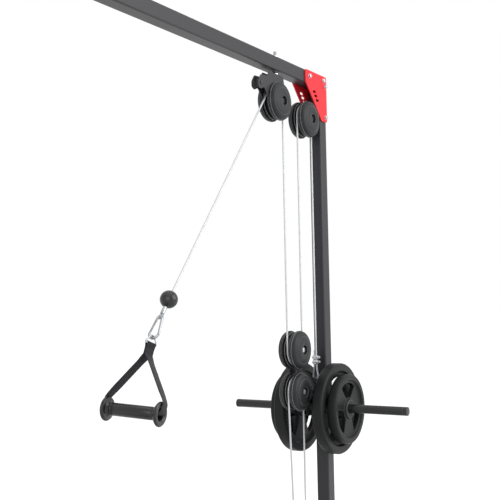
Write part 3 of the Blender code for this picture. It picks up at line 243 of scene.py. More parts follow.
class StageSettings(bpy.types.PropertyGroup):
    """Camera and light."""
    focal: FloatProperty(name="Focal length", description="Camera lens in millimetres", default=63.216)
    place: FloatVectorProperty(name="Camera place", description="Where the camera stands",
                               default=(1.4018, -2.7123, 1.3111), subtype="TRANSLATION")
    key: FloatProperty(name="Key light", description="Power of the large lamp on the right", default=88.0)
    top: FloatProperty(name="Top light", description="Power of the lamp above", default=30.0)
    fill: FloatProperty(name="Fill light", description="Power of the lamp near the camera", default=18.0)
    sky: FloatProperty(name="Sky", description="Strength of the even light from all round", default=0.55)


# ---- Finishes ----

def add_node(tree, kind, values=(), links=(), **settings):
    """Adds a node with its settings, its socket values by name or number, and its incoming links."""
    item = tree.nodes.new(kind)
    for name, value in settings.items():
        setattr(item, name, value)
    for name, value in dict(values).items():
        item.inputs[name].default_value = value
    for source, name in dict(links).items():
        tree.links.new(source, item.inputs[name])
    return item


def surface(name, tint, roughness, sockets, patch=0.06, shade=0.08, gloss=0.06, worn=0.0):
    """A Principled material whose colour and gloss drift from patch to patch, with a highlight painted on
    edge strips.
    """
    material = bpy.data.materials.new(name)
    material.use_nodes = True
    tree = material.node_tree
    shader = tree.nodes["Principled BSDF"]
    for socket, value in sockets.items():
        shader.inputs[socket].default_value = value
    place = add_node(tree, "ShaderNodeTexCoord")
    drift = add_node(tree, "ShaderNodeTexNoise", {"Scale": 1 / patch, "Detail": 3.0},
                     {place.outputs["Object"]: "Vector"})
    lightness = add_node(tree, "ShaderNodeMapRange", {"To Min": 1 - shade, "To Max": 1 + shade},
                         {drift.outputs["Fac"]: "Value"})
    tone = add_node(tree, "ShaderNodeHueSaturation", {"Color": (*tint, 1)},
                    {lightness.outputs["Result"]: "Value"})
    polish = add_node(tree, "ShaderNodeMapRange", {"To Min": roughness - gloss, "To Max": roughness + gloss},
                      {drift.outputs["Fac"]: "Value"})
    # The marked edge strips are mixed towards a pale tone, a painted highlight
    edge = add_node(tree, "ShaderNodeAttribute", attribute_name=EDGE)
    highlight_strength = add_node(tree, "ShaderNodeMath", {1: worn}, {edge.outputs["Fac"]: 0}, operation="MULTIPLY")
    # Sockets 0, 6 and 7 of a colour mix are its factor and its two colours, and socket 2 gives the result
    highlit = add_node(tree, "ShaderNodeMix", {7: EDGE_HIGHLIGHT_TONE}, {highlight_strength.outputs[0]: 0, tone.outputs["Color"]: 6},
                      data_type="RGBA")
    tree.links.new(highlit.outputs[2], shader.inputs["Base Color"])
    tree.links.new(polish.outputs["Result"], shader.inputs["Roughness"])
    return material, tree, place


def relief(tree, height, strength, depth):
    """Lets a height pattern raise the surface by about that depth."""
    bump = add_node(tree, "ShaderNodeBump", {"Strength": strength, "Distance": depth}, {height: "Height"})
    tree.links.new(bump.outputs["Normal"], tree.nodes["Principled BSDF"].inputs["Normal"])


def grain(tree, place, size, detail):
    """Fine noise with grains of that size."""
    noise = add_node(tree, "ShaderNodeTexNoise", {"Scale": 1 / size, "Detail": detail},
                     {place.outputs["Object"]: "Vector"})
    return noise.outputs["Fac"]


def grained(name, tint, roughness, sockets, size, strength, depth, detail=2.0, **drift):
    """A surface raised by fine noise, its grains of that size and about that deep."""
    material, tree, place = surface(name, tint, roughness, sockets, **drift)
    relief(tree, grain(tree, place, size, detail), strength, depth)
    return material


def powder_coat(name, tint, roughness, mirror):
    """Polyester powder coat, sprayed and baked: an even satin skin with faint orange peel."""
    # Real orange peel is 1 to 2 mm across; it is drawn at 4 mm so that it shows
    return grained(name, tint, roughness, {"Specular IOR Level": mirror}, size=0.004, strength=0.08,
                   depth=0.0004, patch=0.25, shade=0.05, gloss=0.04, worn=0.16)


def gloss_coat(name, tint):
    """Gloss enamel on drawn tube: deep black with a clear highlight and faint draw lines."""
    return grained(name, tint, 0.26, {"Specular IOR Level": 0.38}, size=0.003, strength=0.05, depth=0.0003,
                   patch=0.08, shade=0.06, gloss=0.05, worn=0.10)


def zinc_plate(name, tint):
    """Electroplated bright zinc: cool pale metal with soft cloudy gloss."""
    return grained(name, tint, 0.28, {"Metallic": 0.8}, size=0.0015, strength=0.06, depth=0.0001,
                   patch=0.006, shade=0.07, gloss=0.07)


def nickel_plate(name, tint):
    """Polished nickel on wire: grey metal, dark where it turns away, with faint clouds in its gloss."""
    return grained(name, tint, 0.20, {"Metallic": 1.0}, size=0.0010, strength=0.05, depth=0.0001,
                   patch=0.004, shade=0.10, gloss=0.05)


def moulded_plastic(name, tint):
    """Black polypropylene from a spark-eroded mould: matt, with an even fine grain."""
    # Mould grain of 0.3 mm is drawn at 1.2 mm so that it shows
    return grained(name, tint, 0.44, {"Specular IOR Level": 0.26}, size=0.0012, strength=0.10, depth=0.0002,
                   detail=4.0, patch=0.05, shade=0.06, gloss=0.05, worn=0.35)


def turned_nylon(name, tint):
    """Black nylon turned on a lathe: a fine tooled grain, and a pale highlight painted along the flanges'
    edges.
    """
    # Tool marks of 0.2 mm are drawn at 1 mm so that they show
    return grained(name, tint, 0.40, {"Specular IOR Level": 0.20}, size=0.0010, strength=0.06, depth=0.0001,
                   detail=1.0, patch=0.04, shade=0.06, gloss=0.05, worn=0.60)


def polished_plastic(name, tint):
    """Black nylon from a polished mould: smooth, with a soft broad highlight."""
    return grained(name, tint, 0.27, {"Specular IOR Level": 0.45}, size=0.003, strength=0.04, depth=0.0002,
                   patch=0.04, shade=0.05, gloss=0.04, worn=0.12)


def moulded_rubber(name, tint):
    """Moulded natural rubber: deep black, dull, with a dry powdery bloom in patches."""
    return grained(name, tint, 0.60, {"Specular IOR Level": 0.34}, size=0.0010, strength=0.14, depth=0.0002,
                   detail=4.0, patch=0.02, shade=0.14, gloss=0.08, worn=0.06)


def sewing_thread(name, tint):
    """Bonded polyester thread: dark, with a slight silky gloss."""
    return grained(name, tint, 0.5, {"Sheen Weight": 0.1}, size=0.0006, strength=0.3, depth=0.0001,
                   patch=0.003, shade=0.2, gloss=0.1)


def plate_coat(name, tint):
    """Vinyl dipped iron: a soft thick black skin, slightly uneven where it ran and cooled."""
    material, tree, place = surface(name, tint, 0.44, {"Specular IOR Level": 0.19}, patch=0.035, shade=0.10,
                                    gloss=0.07, worn=0.16)
    both = add_node(tree, "ShaderNodeMath", operation="ADD",
                    links={grain(tree, place, 0.0016, 4.0): 0, grain(tree, place, 0.018, 1.0): 1})
    relief(tree, both.outputs[0], 0.12, 0.0003)
    return material


def sheathed_cable(name, tint):
    """Galvanised steel rope in a clear nylon sheath: its six strands show as slanting ridges."""
    material, tree, place = surface(name, tint, 0.30, {"Metallic": 0.35, "Coat Weight": 0.3}, patch=0.03,
                                    shade=0.08, gloss=0.05)
    # Each strand comes round the rope once in its lay length
    strands, lay = 6, 0.024
    phase = add_node(tree, "ShaderNodeVectorMath", {1: (strands / lay, strands, 0.0)},
                     {place.outputs["UV"]: 0}, operation="DOT_PRODUCT")
    angle = add_node(tree, "ShaderNodeMath", {1: 2 * math.pi}, {phase.outputs["Value"]: 0},
                     operation="MULTIPLY")
    ridges = add_node(tree, "ShaderNodeMath", links={angle.outputs[0]: 0}, operation="SINE")
    relief(tree, ridges.outputs[0], 0.15, 0.0003)
    return material


def woven_webbing(name, tint):
    """Black nylon webbing: plain weave with ribs across, dry and slightly silky."""
    sockets = {"Sheen Weight": 0.18, "Sheen Roughness": 0.45, "Specular IOR Level": 0.25}
    material, tree, place = surface(name, tint, 0.80, sockets, patch=0.012, shade=0.12, gloss=0.05)
    # Ribs of 1.2 mm are drawn at 2.2 mm along and 1.6 mm across so that they show. A wave texture of scale 1
    # repeats at this distance
    period = 0.314
    waves = [add_node(tree, "ShaderNodeTexWave", {"Scale": period / rib, "Distortion": bend},
                      {place.outputs["UV"]: "Vector"}, bands_direction=way).outputs["Fac"]
             for way, rib, bend in (("X", 0.0022, 0.6), ("Y", 0.0016, 0.3))]
    weave = add_node(tree, "ShaderNodeMath", links={waves[0]: 0, waves[1]: 1}, operation="MULTIPLY")
    relief(tree, weave.outputs[0], 0.6, 0.0005)
    return material


# Each finish: how it is made, its material's name, the record's slot, and what else its maker takes
KINDS = {
    "graphite": (powder_coat, "graphite_powder_coat", "graphite_powder_coat", 0.40, 0.30),
    "red": (powder_coat, "red_powder_coat", "red_powder_coat", 0.34, 0.20),
    "bar": (gloss_coat, "black_gloss_enamel", "plate_iron"),
    "zinc": (zinc_plate, "bright_zinc", "zinc_steel"),
    "nickel": (nickel_plate, "polished_nickel", "zinc_steel"),
    "plastic": (moulded_plastic, "moulded_polypropylene", "black_plastic"),
    "wheel": (turned_nylon, "turned_nylon", "black_plastic"),
    "grip": (polished_plastic, "polished_nylon", "black_plastic"),
    "plate": (plate_coat, "dipped_iron", "plate_iron"),
    "rubber": (moulded_rubber, "moulded_rubber", "black_rubber"),
    "cable": (sheathed_cable, "sheathed_steel_cable", "coated_cable"),
    "webbing": (woven_webbing, "nylon_webbing", "black_webbing"),
    "thread": (sewing_thread, "sewing_thread", "black_webbing"),
}
FINISHES = {}


def make_finishes(tints):
    """Makes every finish of the station in its colour."""
    for finish, (maker, name, _, *rest) in KINDS.items():
        FINISHES[finish] = maker(name, getattr(tints, finish), *rest)


# ---- Shapes ----

def bow(u, v, radius, first, last, steps, height=None):
    """Points on an arc about (u, v), angles in degrees from the first axis; height is its other radius."""
    angles = [math.radians(first + (last - first) * i / steps) for i in range(steps + 1)]
    return [(u + radius * math.cos(a), v + (height or radius) * math.sin(a)) for a in angles]


def circle(u, v, radius, steps=24):
    """Corners of a circle about (u, v)."""
    return bow(u, v, radius, 0, 360, steps)[:-1]


def oblong(half_u, half_v, v=0.0):
    """Corners of an oblong about (0, v)."""
    return [(-half_u, v - half_v), (half_u, v - half_v), (half_u, v + half_v), (-half_u, v + half_v)]


def reflected(points):
    """The same points across u = 0, in the other order."""
    return [(-u, v) for u, v in reversed(points)]


def eased(corners, radius, steps, closed=True):
    """A chain of corners with an arc at each one, smaller where its sides are short."""
    # An arc takes up to this share of a side, and a corner that is nearly straight gets none
    share, straight = 0.45, math.radians(176)
    outline = []
    for i, corner in enumerate(corners):
        here = Vector(corner)
        before = Vector(corners[i - 1]) - here
        after = Vector(corners[(i + 1) % len(corners)]) - here
        at_end = not closed and i in (0, len(corners) - 1)
        if at_end or before.length * after.length < 1e-12 or before.angle(after) > straight:
            outline.append(tuple(here))
            continue
        half = before.angle(after) / 2
        reach = min(radius / math.tan(half), share * before.length, share * after.length)
        round_radius = reach * math.tan(half)
        inward = (before.normalized() + after.normalized()).normalized()
        centre = here + inward * round_radius / math.sin(half)
        first = here + before.normalized() * reach - centre
        last = here + after.normalized() * reach - centre
        outline += [tuple(centre + first.slerp(last, k / steps).normalized() * round_radius)
                    for k in range(steps + 1)]
    return outline


def turned(profile, steps, hollow=True):
    """A solid turned about X from (x, radius) points: a ring where hollow, else closed on the axis."""
    bm = bmesh.new()
    corners = [bm.verts.new((x, 0, radius)) for x, radius in profile]
    edges = [bm.edges.new(pair) for pair in zip(corners, corners[1:])]
    if hollow:
        edges.append(bm.edges.new((corners[-1], corners[0])))
    bmesh.ops.spin(bm, geom=corners + edges, axis=(1, 0, 0), cent=(0, 0, 0), angle=2 * math.pi,
                   steps=steps, use_merge=True)
    return tidied(bm)


def tidied(bm):
    """The same mesh with its doubles merged and its faces pointing out."""
    bmesh.ops.remove_doubles(bm, verts=bm.verts, dist=0.000005)
    bmesh.ops.recalc_face_normals(bm, faces=bm.faces)
    return bm


def sheet(outline, thickness, holes=()):
    """A flat outline with holes in the XY plane, made solid upwards."""
    bm = bmesh.new()
    edges = []
    for loop in (outline, *holes):
        corners = [bm.verts.new((u, v, 0)) for u, v in loop]
        edges += [bm.edges.new(pair) for pair in zip(corners, corners[1:] + corners[:1])]
    bmesh.ops.triangle_fill(bm, edges=edges, use_beauty=True)
    bmesh.ops.dissolve_limit(bm, angle_limit=0.01, verts=bm.verts, edges=bm.edges)
    grown = bmesh.ops.extrude_face_region(bm, geom=list(bm.faces))["geom"]
    bmesh.ops.translate(bm, verts=[g for g in grown if isinstance(g, bmesh.types.BMVert)],
                        vec=(0, 0, thickness))
    return tidied(bm)


def rounded(bm, edges, width, segments):
    """The same solid with those edges rounded."""
    bmesh.ops.bevel(bm, geom=edges, offset=width, offset_type="OFFSET", segments=segments, profile=0.5,
                    affect="EDGES", clamp_overlap=True, material=-1)
    return bm


def sharp_edges(bm, above):
    """Edges between two faces that meet at more than an angle in degrees."""
    return [e for e in bm.edges if len(e.link_faces) == 2 and e.calc_face_angle() > math.radians(above)]


def softened(bm, width, segments=2):
    """The same solid with its sharp edges rounded."""
    return rounded(bm, sharp_edges(bm, 40), width, segments)


def rod(outline, easing, steps, sides):
    """A solid turned about X from (x, radius) points, closed at its ends, its corners eased."""
    profile = [(outline[0][0], 0.0), *outline, (outline[-1][0], 0.0)]
    return turned(eased(profile, easing, steps, closed=False), sides, hollow=False)


def placed(bm, origin, turn=Matrix.Identity(4)):
    """The same mesh, turned and then moved to origin."""
    bm.transform(Matrix.Translation(origin) @ turn)
    return bm


def mirrored(bm):
    """The same mesh mirrored from +X to -X."""
    bm.transform(Matrix.Scale(-1, 4, (1, 0, 0)))
    bmesh.ops.reverse_faces(bm, faces=bm.faces)
    return bm


def basis(x, y, z):
    """The rotation whose columns are three directions."""
    return Matrix((x, y, z)).transposed().to_4x4()


# Turns a sheet from the XY plane to the YZ plane, its thickness along +X
IN_YZ = basis((0, 1, 0), (0, 0, 1), (1, 0, 0))


def pointing(direction):
    """The rotation that takes +X to a direction and keeps the world's X as its second axis."""
    way = Vector(direction).normalized()
    side = ACROSS if abs(way.x) < 0.9 else Vector((0, 1, 0))
    third = way.cross(side).normalized()
    return basis(way, third.cross(way), third)


def merged(solids):
    """Several meshes in one, each still its own body."""
    whole = bmesh.new()
    for solid in solids:
        mesh = bpy.data.meshes.new("part")
        solid.to_mesh(mesh)
        solid.free()
        whole.from_mesh(mesh)
        bpy.data.meshes.remove(mesh)
    return whole


def mark_edges(bm, widest=0.0011, bend=math.radians(14)):
    """Marks the narrow strips along rounded edges, where a highlight is painted on the finish."""
    layer = bm.faces.layers.float.new(EDGE)
    for face in bm.faces:
        longest = max(face.edges, key=lambda e: e.calc_length())
        narrow = face.calc_area() / longest.calc_length() < widest
        sharp = any(e.calc_face_angle_signed(0) > bend for e in face.edges
                    if len(e.link_faces) == 2 and e.calc_length() > 0.4 * longest.calc_length())
        face[layer] = 1.0 if narrow and sharp else 0.0


def as_object(name, bm):
    """An object in the scene that holds the mesh."""
    mesh = bpy.data.meshes.new(name)
    bm.to_mesh(mesh)
    bm.free()
    item = bpy.data.objects.new(name, mesh)
    bpy.context.scene.collection.objects.link(item)
    return item


def baked(item):
    """The final mesh of a curve or of an object with modifiers, which is then removed."""
    bpy.context.view_layer.update()
    mesh = bpy.data.meshes.new_from_object(item.evaluated_get(bpy.context.evaluated_depsgraph_get()))
    bm = bmesh.new()
    bm.from_mesh(mesh)
    bpy.data.objects.remove(item)
    bpy.data.meshes.remove(mesh)
    return bm


def dress_node(node, finish):
    """Gives a CAD node one of the finishes."""
    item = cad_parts[node]
    item.data.materials.clear()
    item.data.materials.append(FINISHES[finish])


def show(name, bm, finish, crease=CREASE):
    """Makes an object of a finished mesh."""
    mark_edges(bm)
    item = as_object(name, bm)
    item.data.materials.append(FINISHES[finish])
    item.data.shade_smooth()
    item.data.set_sharp_from_angle(angle=crease)
    return item


def add_piece(name, bm, finish, body, *nodes, crease=CREASE):
    """Makes a piece that rides on a body and stands for those CAD nodes."""
    item = show(name, bm, finish, crease)
    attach(item, body)
    if nodes:
        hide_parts(*nodes)
    return item


def evened(route, spacing, closed=False):
    """The same route with evenly spaced points."""
    points = [Vector(p) for p in route] + ([Vector(route[0])] if closed else [])
    lengths = [(b - a).length for a, b in zip(points, points[1:])]
    total = sum(lengths)
    pieces = max(2, round(total / spacing))
    even = []
    done, i = 0.0, 0
    for k in range(pieces if closed else pieces + 1):
        target = total * k / pieces
        while i < len(lengths) - 1 and done + lengths[i] < target:
            done += lengths[i]
            i += 1
        even.append(points[i].lerp(points[i + 1], min(1.0, (target - done) / lengths[i])))
    return even, total


def strand(route, radius, spacing, closed=False, width=0.0, roundness=5):
    """A round wire, or a band of that width across Z, along a route; its UV is metres along, share round."""
    points, total = evened(route, spacing, closed)
    curve = bpy.data.curves.new("route", "CURVE")
    curve.dimensions = "3D"
    curve.fill_mode = "FULL"
    curve.bevel_depth = radius
    curve.bevel_resolution = roundness
    curve.extrude = max(0.0, width / 2 - radius)
    curve.use_fill_caps = True
    spline = curve.splines.new("POLY")
    spline.points.add(len(points) - 1)
    for point, place in zip(spline.points, points):
        point.co = (*place, 1)
    spline.use_cyclic_u = closed
    item = bpy.data.objects.new("route", curve)
    bpy.context.scene.collection.objects.link(item)
    bm = baked(item)
    layer = bm.loops.layers.uv.verify()
    for face in bm.faces:
        for loop in face.loops:
            along, share = loop[layer].uv
            loop[layer].uv = (along * total, loop.vert.co.z if width else share)
    return tidied(bm)


def smoothed(route, times):
    """A route with its corners cut so many times, its ends kept."""
    for _ in range(times):
        softer = [route[0]]
        for a, b in zip(route, route[1:]):
            softer += [a.lerp(b, 0.25), a.lerp(b, 0.75)]
        route = softer + [route[-1]]
    return route


def arc(centre, radius, first, last, steps=48):
    """Points round an X axis, angles in degrees from +Y towards +Z."""
    return [Vector(centre) + Vector((0, y, z)) for y, z in bow(0, 0, radius, first, last, steps)]


# ---- Bolts ----

def hexagon(across, height, start):
    """A chamfered hexagon along X from start."""
    bm = bmesh.new()
    corner = across / math.sqrt(3)
    bmesh.ops.create_cone(bm, cap_ends=True, segments=6, radius1=corner, radius2=corner, depth=height)
    bmesh.ops.rotate(bm, verts=bm.verts, matrix=Matrix.Rotation(math.pi / 2, 3, "Y"))
    rims = [e for e in bm.edges if abs(e.verts[0].co.x - e.verts[1].co.x) < 1e-6]
    return placed(rounded(bm, rims, across * 0.06, 2), (start + height / 2, 0, 0))


def washer(radius, bore, height, start):
    """A washer along X from start, its rim eased."""
    corners = [(start, bore), (start, radius), (start + height, radius), (start + height, bore)]
    return turned(eased(corners, height * 0.3, 2), 36)


def thread(radius, start, end, pitch=0.0008):
    """A length of thread along X, drawn as rings, with a chamfered end."""
    ridges = max(1, round((end - start) / pitch))
    step = (end - start) / ridges
    root = radius * 0.9
    profile = [(start, 0.0), (start, root)]
    for k in range(ridges):
        profile += [(start + (k + 0.5) * step, radius), (start + (k + 0.95) * step, root)]
    profile += [(end, radius * 0.8), (end, 0.0)]
    return turned(profile, 24, hollow=False)


def bolt(radius, across, head, grip, sizes, washer_radius=0.0):
    """A bolt along -X, its head's face seated at x = 0, with washers and its nut beyond the grip."""
    height = sizes.washer_height if washer_radius else 0.0
    nut_end = -grip - height - sizes.nut
    top = height + head
    solids = [hexagon(across, head, height), thread(radius, nut_end - sizes.stub, 0.0),
              hexagon(across, sizes.nut, nut_end)]
    if washer_radius:
        solids += [washer(washer_radius, radius, height, start) for start in (0.0, -grip - height)]
    # The round boss that a forged head carries inside its chamfer
    solids.append(rod([(top - 0.001, across * 0.40), (top + 0.0003, across * 0.36)], 0.0004, 2, 24))
    return merged(solids)


def add_bolt(name, head_at, direction, grip, context, *nodes):
    """A frame bolt whose head is seated at a point and whose shank runs along direction."""
    sizes = context.scene.station_fasteners
    solid = bolt(sizes.bolt, sizes.across, sizes.head, grip, sizes, sizes.washer)
    add_piece(name, placed(solid, head_at, pointing(-Vector(direction))), "zinc", "frame", *nodes)


# ---- Frame ----

# Bolts and slots of the corner plates: how far in front of the upright's axis and below the beam's top
CORNER_BOLTS = ((0.103, 0.020), (0.001, 0.016), (-0.012, 0.035), (-0.012, 0.144))
CORNER_SLOTS = ((0.068, 0.067), (0.058, 0.080), (0.048, 0.094))
# Half of a slot's straight part, and the radius of its round ends
SLOT_REACH = 0.0070
SLOT_ROUND = 0.0046


def weld_bead(route, radius):
    """A weld bead along a route, rippled by the welder's steps."""
    step, ripple = 0.0022, 0.16
    bm = strand(route, radius, step, roundness=2)
    points, _ = evened(route, step)
    for vertex in bm.verts:
        near = min(range(len(points)), key=lambda i: (points[i] - vertex.co).length_squared)
        swell = 1.0 + ripple * math.sin(near * 2.1)
        vertex.co = points[near] + (vertex.co - points[near]) * swell
    return bm


class STATION_OT_frame(bpy.types.Operator):
    """Coat the tubes and brackets, and add caps, pads, welds and the slotted corner plates"""
    bl_idname = "station.frame"
    bl_label = "Frame"

    def execute(self, context):
        for node in ("main_upright", "end_post", "top_beam", "main_foot", "end_foot", "rear_pulley_bracket",
                     "low_pulley_bracket", "block_frame", "carriage_frame"):
            dress_node(node, "graphite")
        dress_node("slide_liner", "plastic")
        low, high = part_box("top_beam")
        for word, y, way in (("rear", high[1], 1), ("far", low[1], -1)):
            self.cap(f"beam_cap_{word}", (0, y, BEAM_TOP - TUBE / 2),
                     basis((1, 0, 0), (0, 0, -way), (0, way, 0)))
        for _, foot in POSTS:
            low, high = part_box(foot)
            for word, x, way in (("right", high[0], 1), ("left", low[0], -1)):
                self.cap(f"{foot}_cap_{word}", (x, middle(foot).y, high[2] - TUBE / 2),
                         basis((0, 0, -way), (0, 1, 0), (way, 0, 0)))
        for _, foot in POSTS:
            self.pads(foot)
        for post, foot in POSTS:
            self.weld(post, foot)
        for word in ("right", "left"):
            self.corner_plate(word)
        return {"FINISHED"}

    def cap(self, name, centre, turn):
        """A domed push-in cap in a tube's open end."""
        half, thickness = TUBE / 2, 0.0035
        plate = softened(sheet(eased(oblong(half, half), 0.004, 5), thickness), thickness * 0.4, 3)
        add_piece(name, placed(plate, centre, turn), "plastic", "frame")

    def pads(self, foot):
        """Rubber shoes over a foot's three pads."""
        skin, inset = 0.0006, 0.031
        low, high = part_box(foot)
        outline = eased(oblong(0.030 + skin, TUBE / 2 - 0.004 + skin), 0.004, 4)
        for word, x in (("right", high[0] - inset), ("middle", 0.0), ("left", low[0] + inset)):
            pad = softened(sheet(outline, high[2] - TUBE - 0.0002), 0.0012)
            add_piece(f"{foot}_pad_{word}", placed(pad, (x, middle(foot).y, 0)), "rubber", "frame")

    def weld(self, post, foot):
        """The bead round a post where it stands on its base plate."""
        bead, plate = 0.0022, 0.0063
        corners = oblong(TUBE / 2, TUBE / 2, middle(foot).y)
        route = [Vector((x, y, FOOT_TOP + plate)) for x, y in corners[2:] + corners[:3]]
        add_piece(f"{post}_weld", weld_bead(route, bead), "graphite", "frame")

    def corner_plate(self, word):
        """A slotted corner plate with eased edges."""
        node = f"gusset_{word}"
        low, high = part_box(node)
        corners = [(high[1], high[2]), (high[1], low[2]), (high[1] - 0.040, low[2]),
                   (low[1], high[2] - 0.042), (low[1], high[2])]
        holes = [circle(-near, high[2] - depth, 0.0045) for near, depth in CORNER_BOLTS]
        for near, depth in CORNER_SLOTS:
            y, z = -near, high[2] - depth
            end = bow(y + SLOT_REACH, z, SLOT_ROUND, -90, 90, 8)
            holes.append(end + [(2 * y - u, 2 * z - v) for u, v in end])
        plate = softened(sheet(eased(corners, 0.007, 8), high[0] - low[0], holes), 0.0006)
        add_piece(f"corner_plate_{word}", placed(plate, (low[0], 0, 0), IN_YZ), "red", "frame", node,
                  crease=SHEET_CREASE)


class STATION_OT_bolts(bpy.types.Operator):
    """Add the bolts of the corner, the brackets and the base plates, and the swivel's long bolt"""
    bl_idname = "station.bolts"
    bl_label = "Bolts"

    def execute(self, context):
        plate_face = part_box("gusset_right")[1][0]
        for i, (near, depth) in enumerate(CORNER_BOLTS, start=1):
            head_at = Vector((plate_face, -near, BEAM_TOP - depth))
            add_bolt(f"corner_fastener_{i}", head_at, (-1, 0, 0), 2 * plate_face, context, f"corner_bolt_{i}")
        # Two bolts through the upright for the rear pulley's bracket, and two for the low one
        heights = (REAR_WHEEL.z - 0.020, REAR_WHEEL.z + 0.044, 0.098, 0.136)
        bracket_wall = 0.0045
        for i, z in enumerate(heights, start=1):
            add_bolt(f"bracket_fastener_{i}", Vector((0, TUBE / 2, z)), (0, -1, 0), TUBE + bracket_wall,
                     context)
        for post, foot in POSTS:
            self.base_bolts(post, foot)
        self.swivel(context)
        return {"FINISHED"}

    def base_bolts(self, post, foot):
        """Four bolt heads on a post's base plate."""
        disc, seat = 0.0012, FOOT_TOP + 0.0064
        heads = [placed(merged([hexagon(0.010, 0.0045, disc), washer(0.0075, 0.003, disc, 0.0)]),
                        (x, middle(foot).y + off, seat), pointing((0, 0, 1)))
                 for x in (-0.047, 0.047) for off in (-0.0125, 0.0125)]
        add_piece(f"{post}_base_bolts", merged(heads), "zinc", "frame")

    def swivel(self, context):
        """The upright bolt of the swivel, with a nut under the beam, and a washer and a nut above it."""
        sizes = context.scene.station_fasteners
        across, nut, disc = sizes.swivel_across, 0.008, 0.002
        low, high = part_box("swivel_bolt")
        upper = BEAM_TOP + GAP
        levels = [hexagon(across, 0.0065, low[2]), thread(sizes.axle, low[2] + 0.006, high[2]),
                  hexagon(across, nut, BEAM_BOTTOM - nut - GAP), washer(0.014, sizes.axle, disc, upper),
                  hexagon(across, nut, upper + disc)]
        stack = placed(merged(levels), (0, SWIVEL.y, 0), pointing((0, 0, 1)))
        add_piece("swivel_stud", stack, "zinc", "frame", "swivel_bolt")


# ---- Pulleys ----

def pulley_cover(sizes):
    """One cover on the +X side: rim, dome, ring groove, hub and the pocket of the bolt head."""
    base, rim, ring = COVER_BASE, COVER_RADIUS, sizes.step
    outer = base + COVER_DEPTH
    floor = outer - sizes.pocket_depth
    dome_start, dome_height, groove = base + 0.0070, 0.0130, 0.0004
    edge = [(base, sizes.bore), (base, rim), (base + 0.0056, rim), (base + 0.0062, rim - 0.0010),
            (dome_start, rim - 0.0010)]
    dome = bow(dome_start, ring, dome_height, 90, 10, 8, height=rim - 0.0014 - ring)
    hub = [(base + 0.0201, ring + groove), (base + 0.0196, ring), (base + 0.0201, ring - groove),
           (base + 0.0212, ring - 0.0010), (outer - 0.0010, sizes.hub + 0.0050), (outer, sizes.hub - 0.0020),
           (outer, sizes.pocket), (floor, sizes.pocket), (floor, sizes.bore)]
    return turned(eased(edge + dome + hub, 0.0004, 2), sizes.steps)


def grooved_wheel(sizes):
    """A wheel with a round groove that the cable sits in, and recessed sides."""
    half, rim = WHEEL_WIDTH / 2, sizes.wheel
    # The groove is a little wider than the cable, which lies 0.1 mm clear of its bed
    groove_radius, recess = 0.0034, 0.0012
    seat = sizes.pitch - 0.0031
    groove = bow(0, seat + groove_radius, groove_radius, -90, -30, 4)
    side = [(half, sizes.bore), (half, 0.014), (half - recess, 0.016), (half - recess, 0.046), (half, 0.048),
            (half, rim - 0.0010), (half - 0.0010, rim), (0.0062, rim)] + groove[:0:-1]
    return turned(eased(side + groove[:1] + reflected(side), 0.0007, 2), sizes.steps)


def axle_bolt(seat, context):
    """A pulley's bolt, its head and nut seated at x = seat and x = -seat."""
    sizes = context.scene.station_fasteners
    return placed(bolt(sizes.axle, sizes.axle_across, 0.006, 2 * seat, sizes), (seat, 0, 0))


def guide_roller(radius, waist, half, bore):
    """A rubber roller with a waisted tread."""
    side = [(half, bore), (half, radius - 0.001), (half - 0.001, radius), (half - 0.003, radius),
            (0.0052, waist + 0.0030), (0.002, waist)]
    return turned(eased(side + reflected(side), 0.0009, 3), 48)


# The yoke's outline, along Y and Z: its top from back to front, its lower edge from the wheel's centre, the
# lug from the roller's centre, and the step in front of the swivel's bolt
YOKE_TOP = (0.036, -0.054)
YOKE_EDGE = ((0.042, 0.050), (0.027, -0.026), (-0.027, -0.026), (-0.062, 0.006), (-0.084, 0.031))
ROLLER_LUG = ((-0.0005, -0.0195), (-0.016, -0.013), (-0.0155, 0.005), (0.0, 0.0265))
YOKE_STEP = (-0.066, 0.0695)


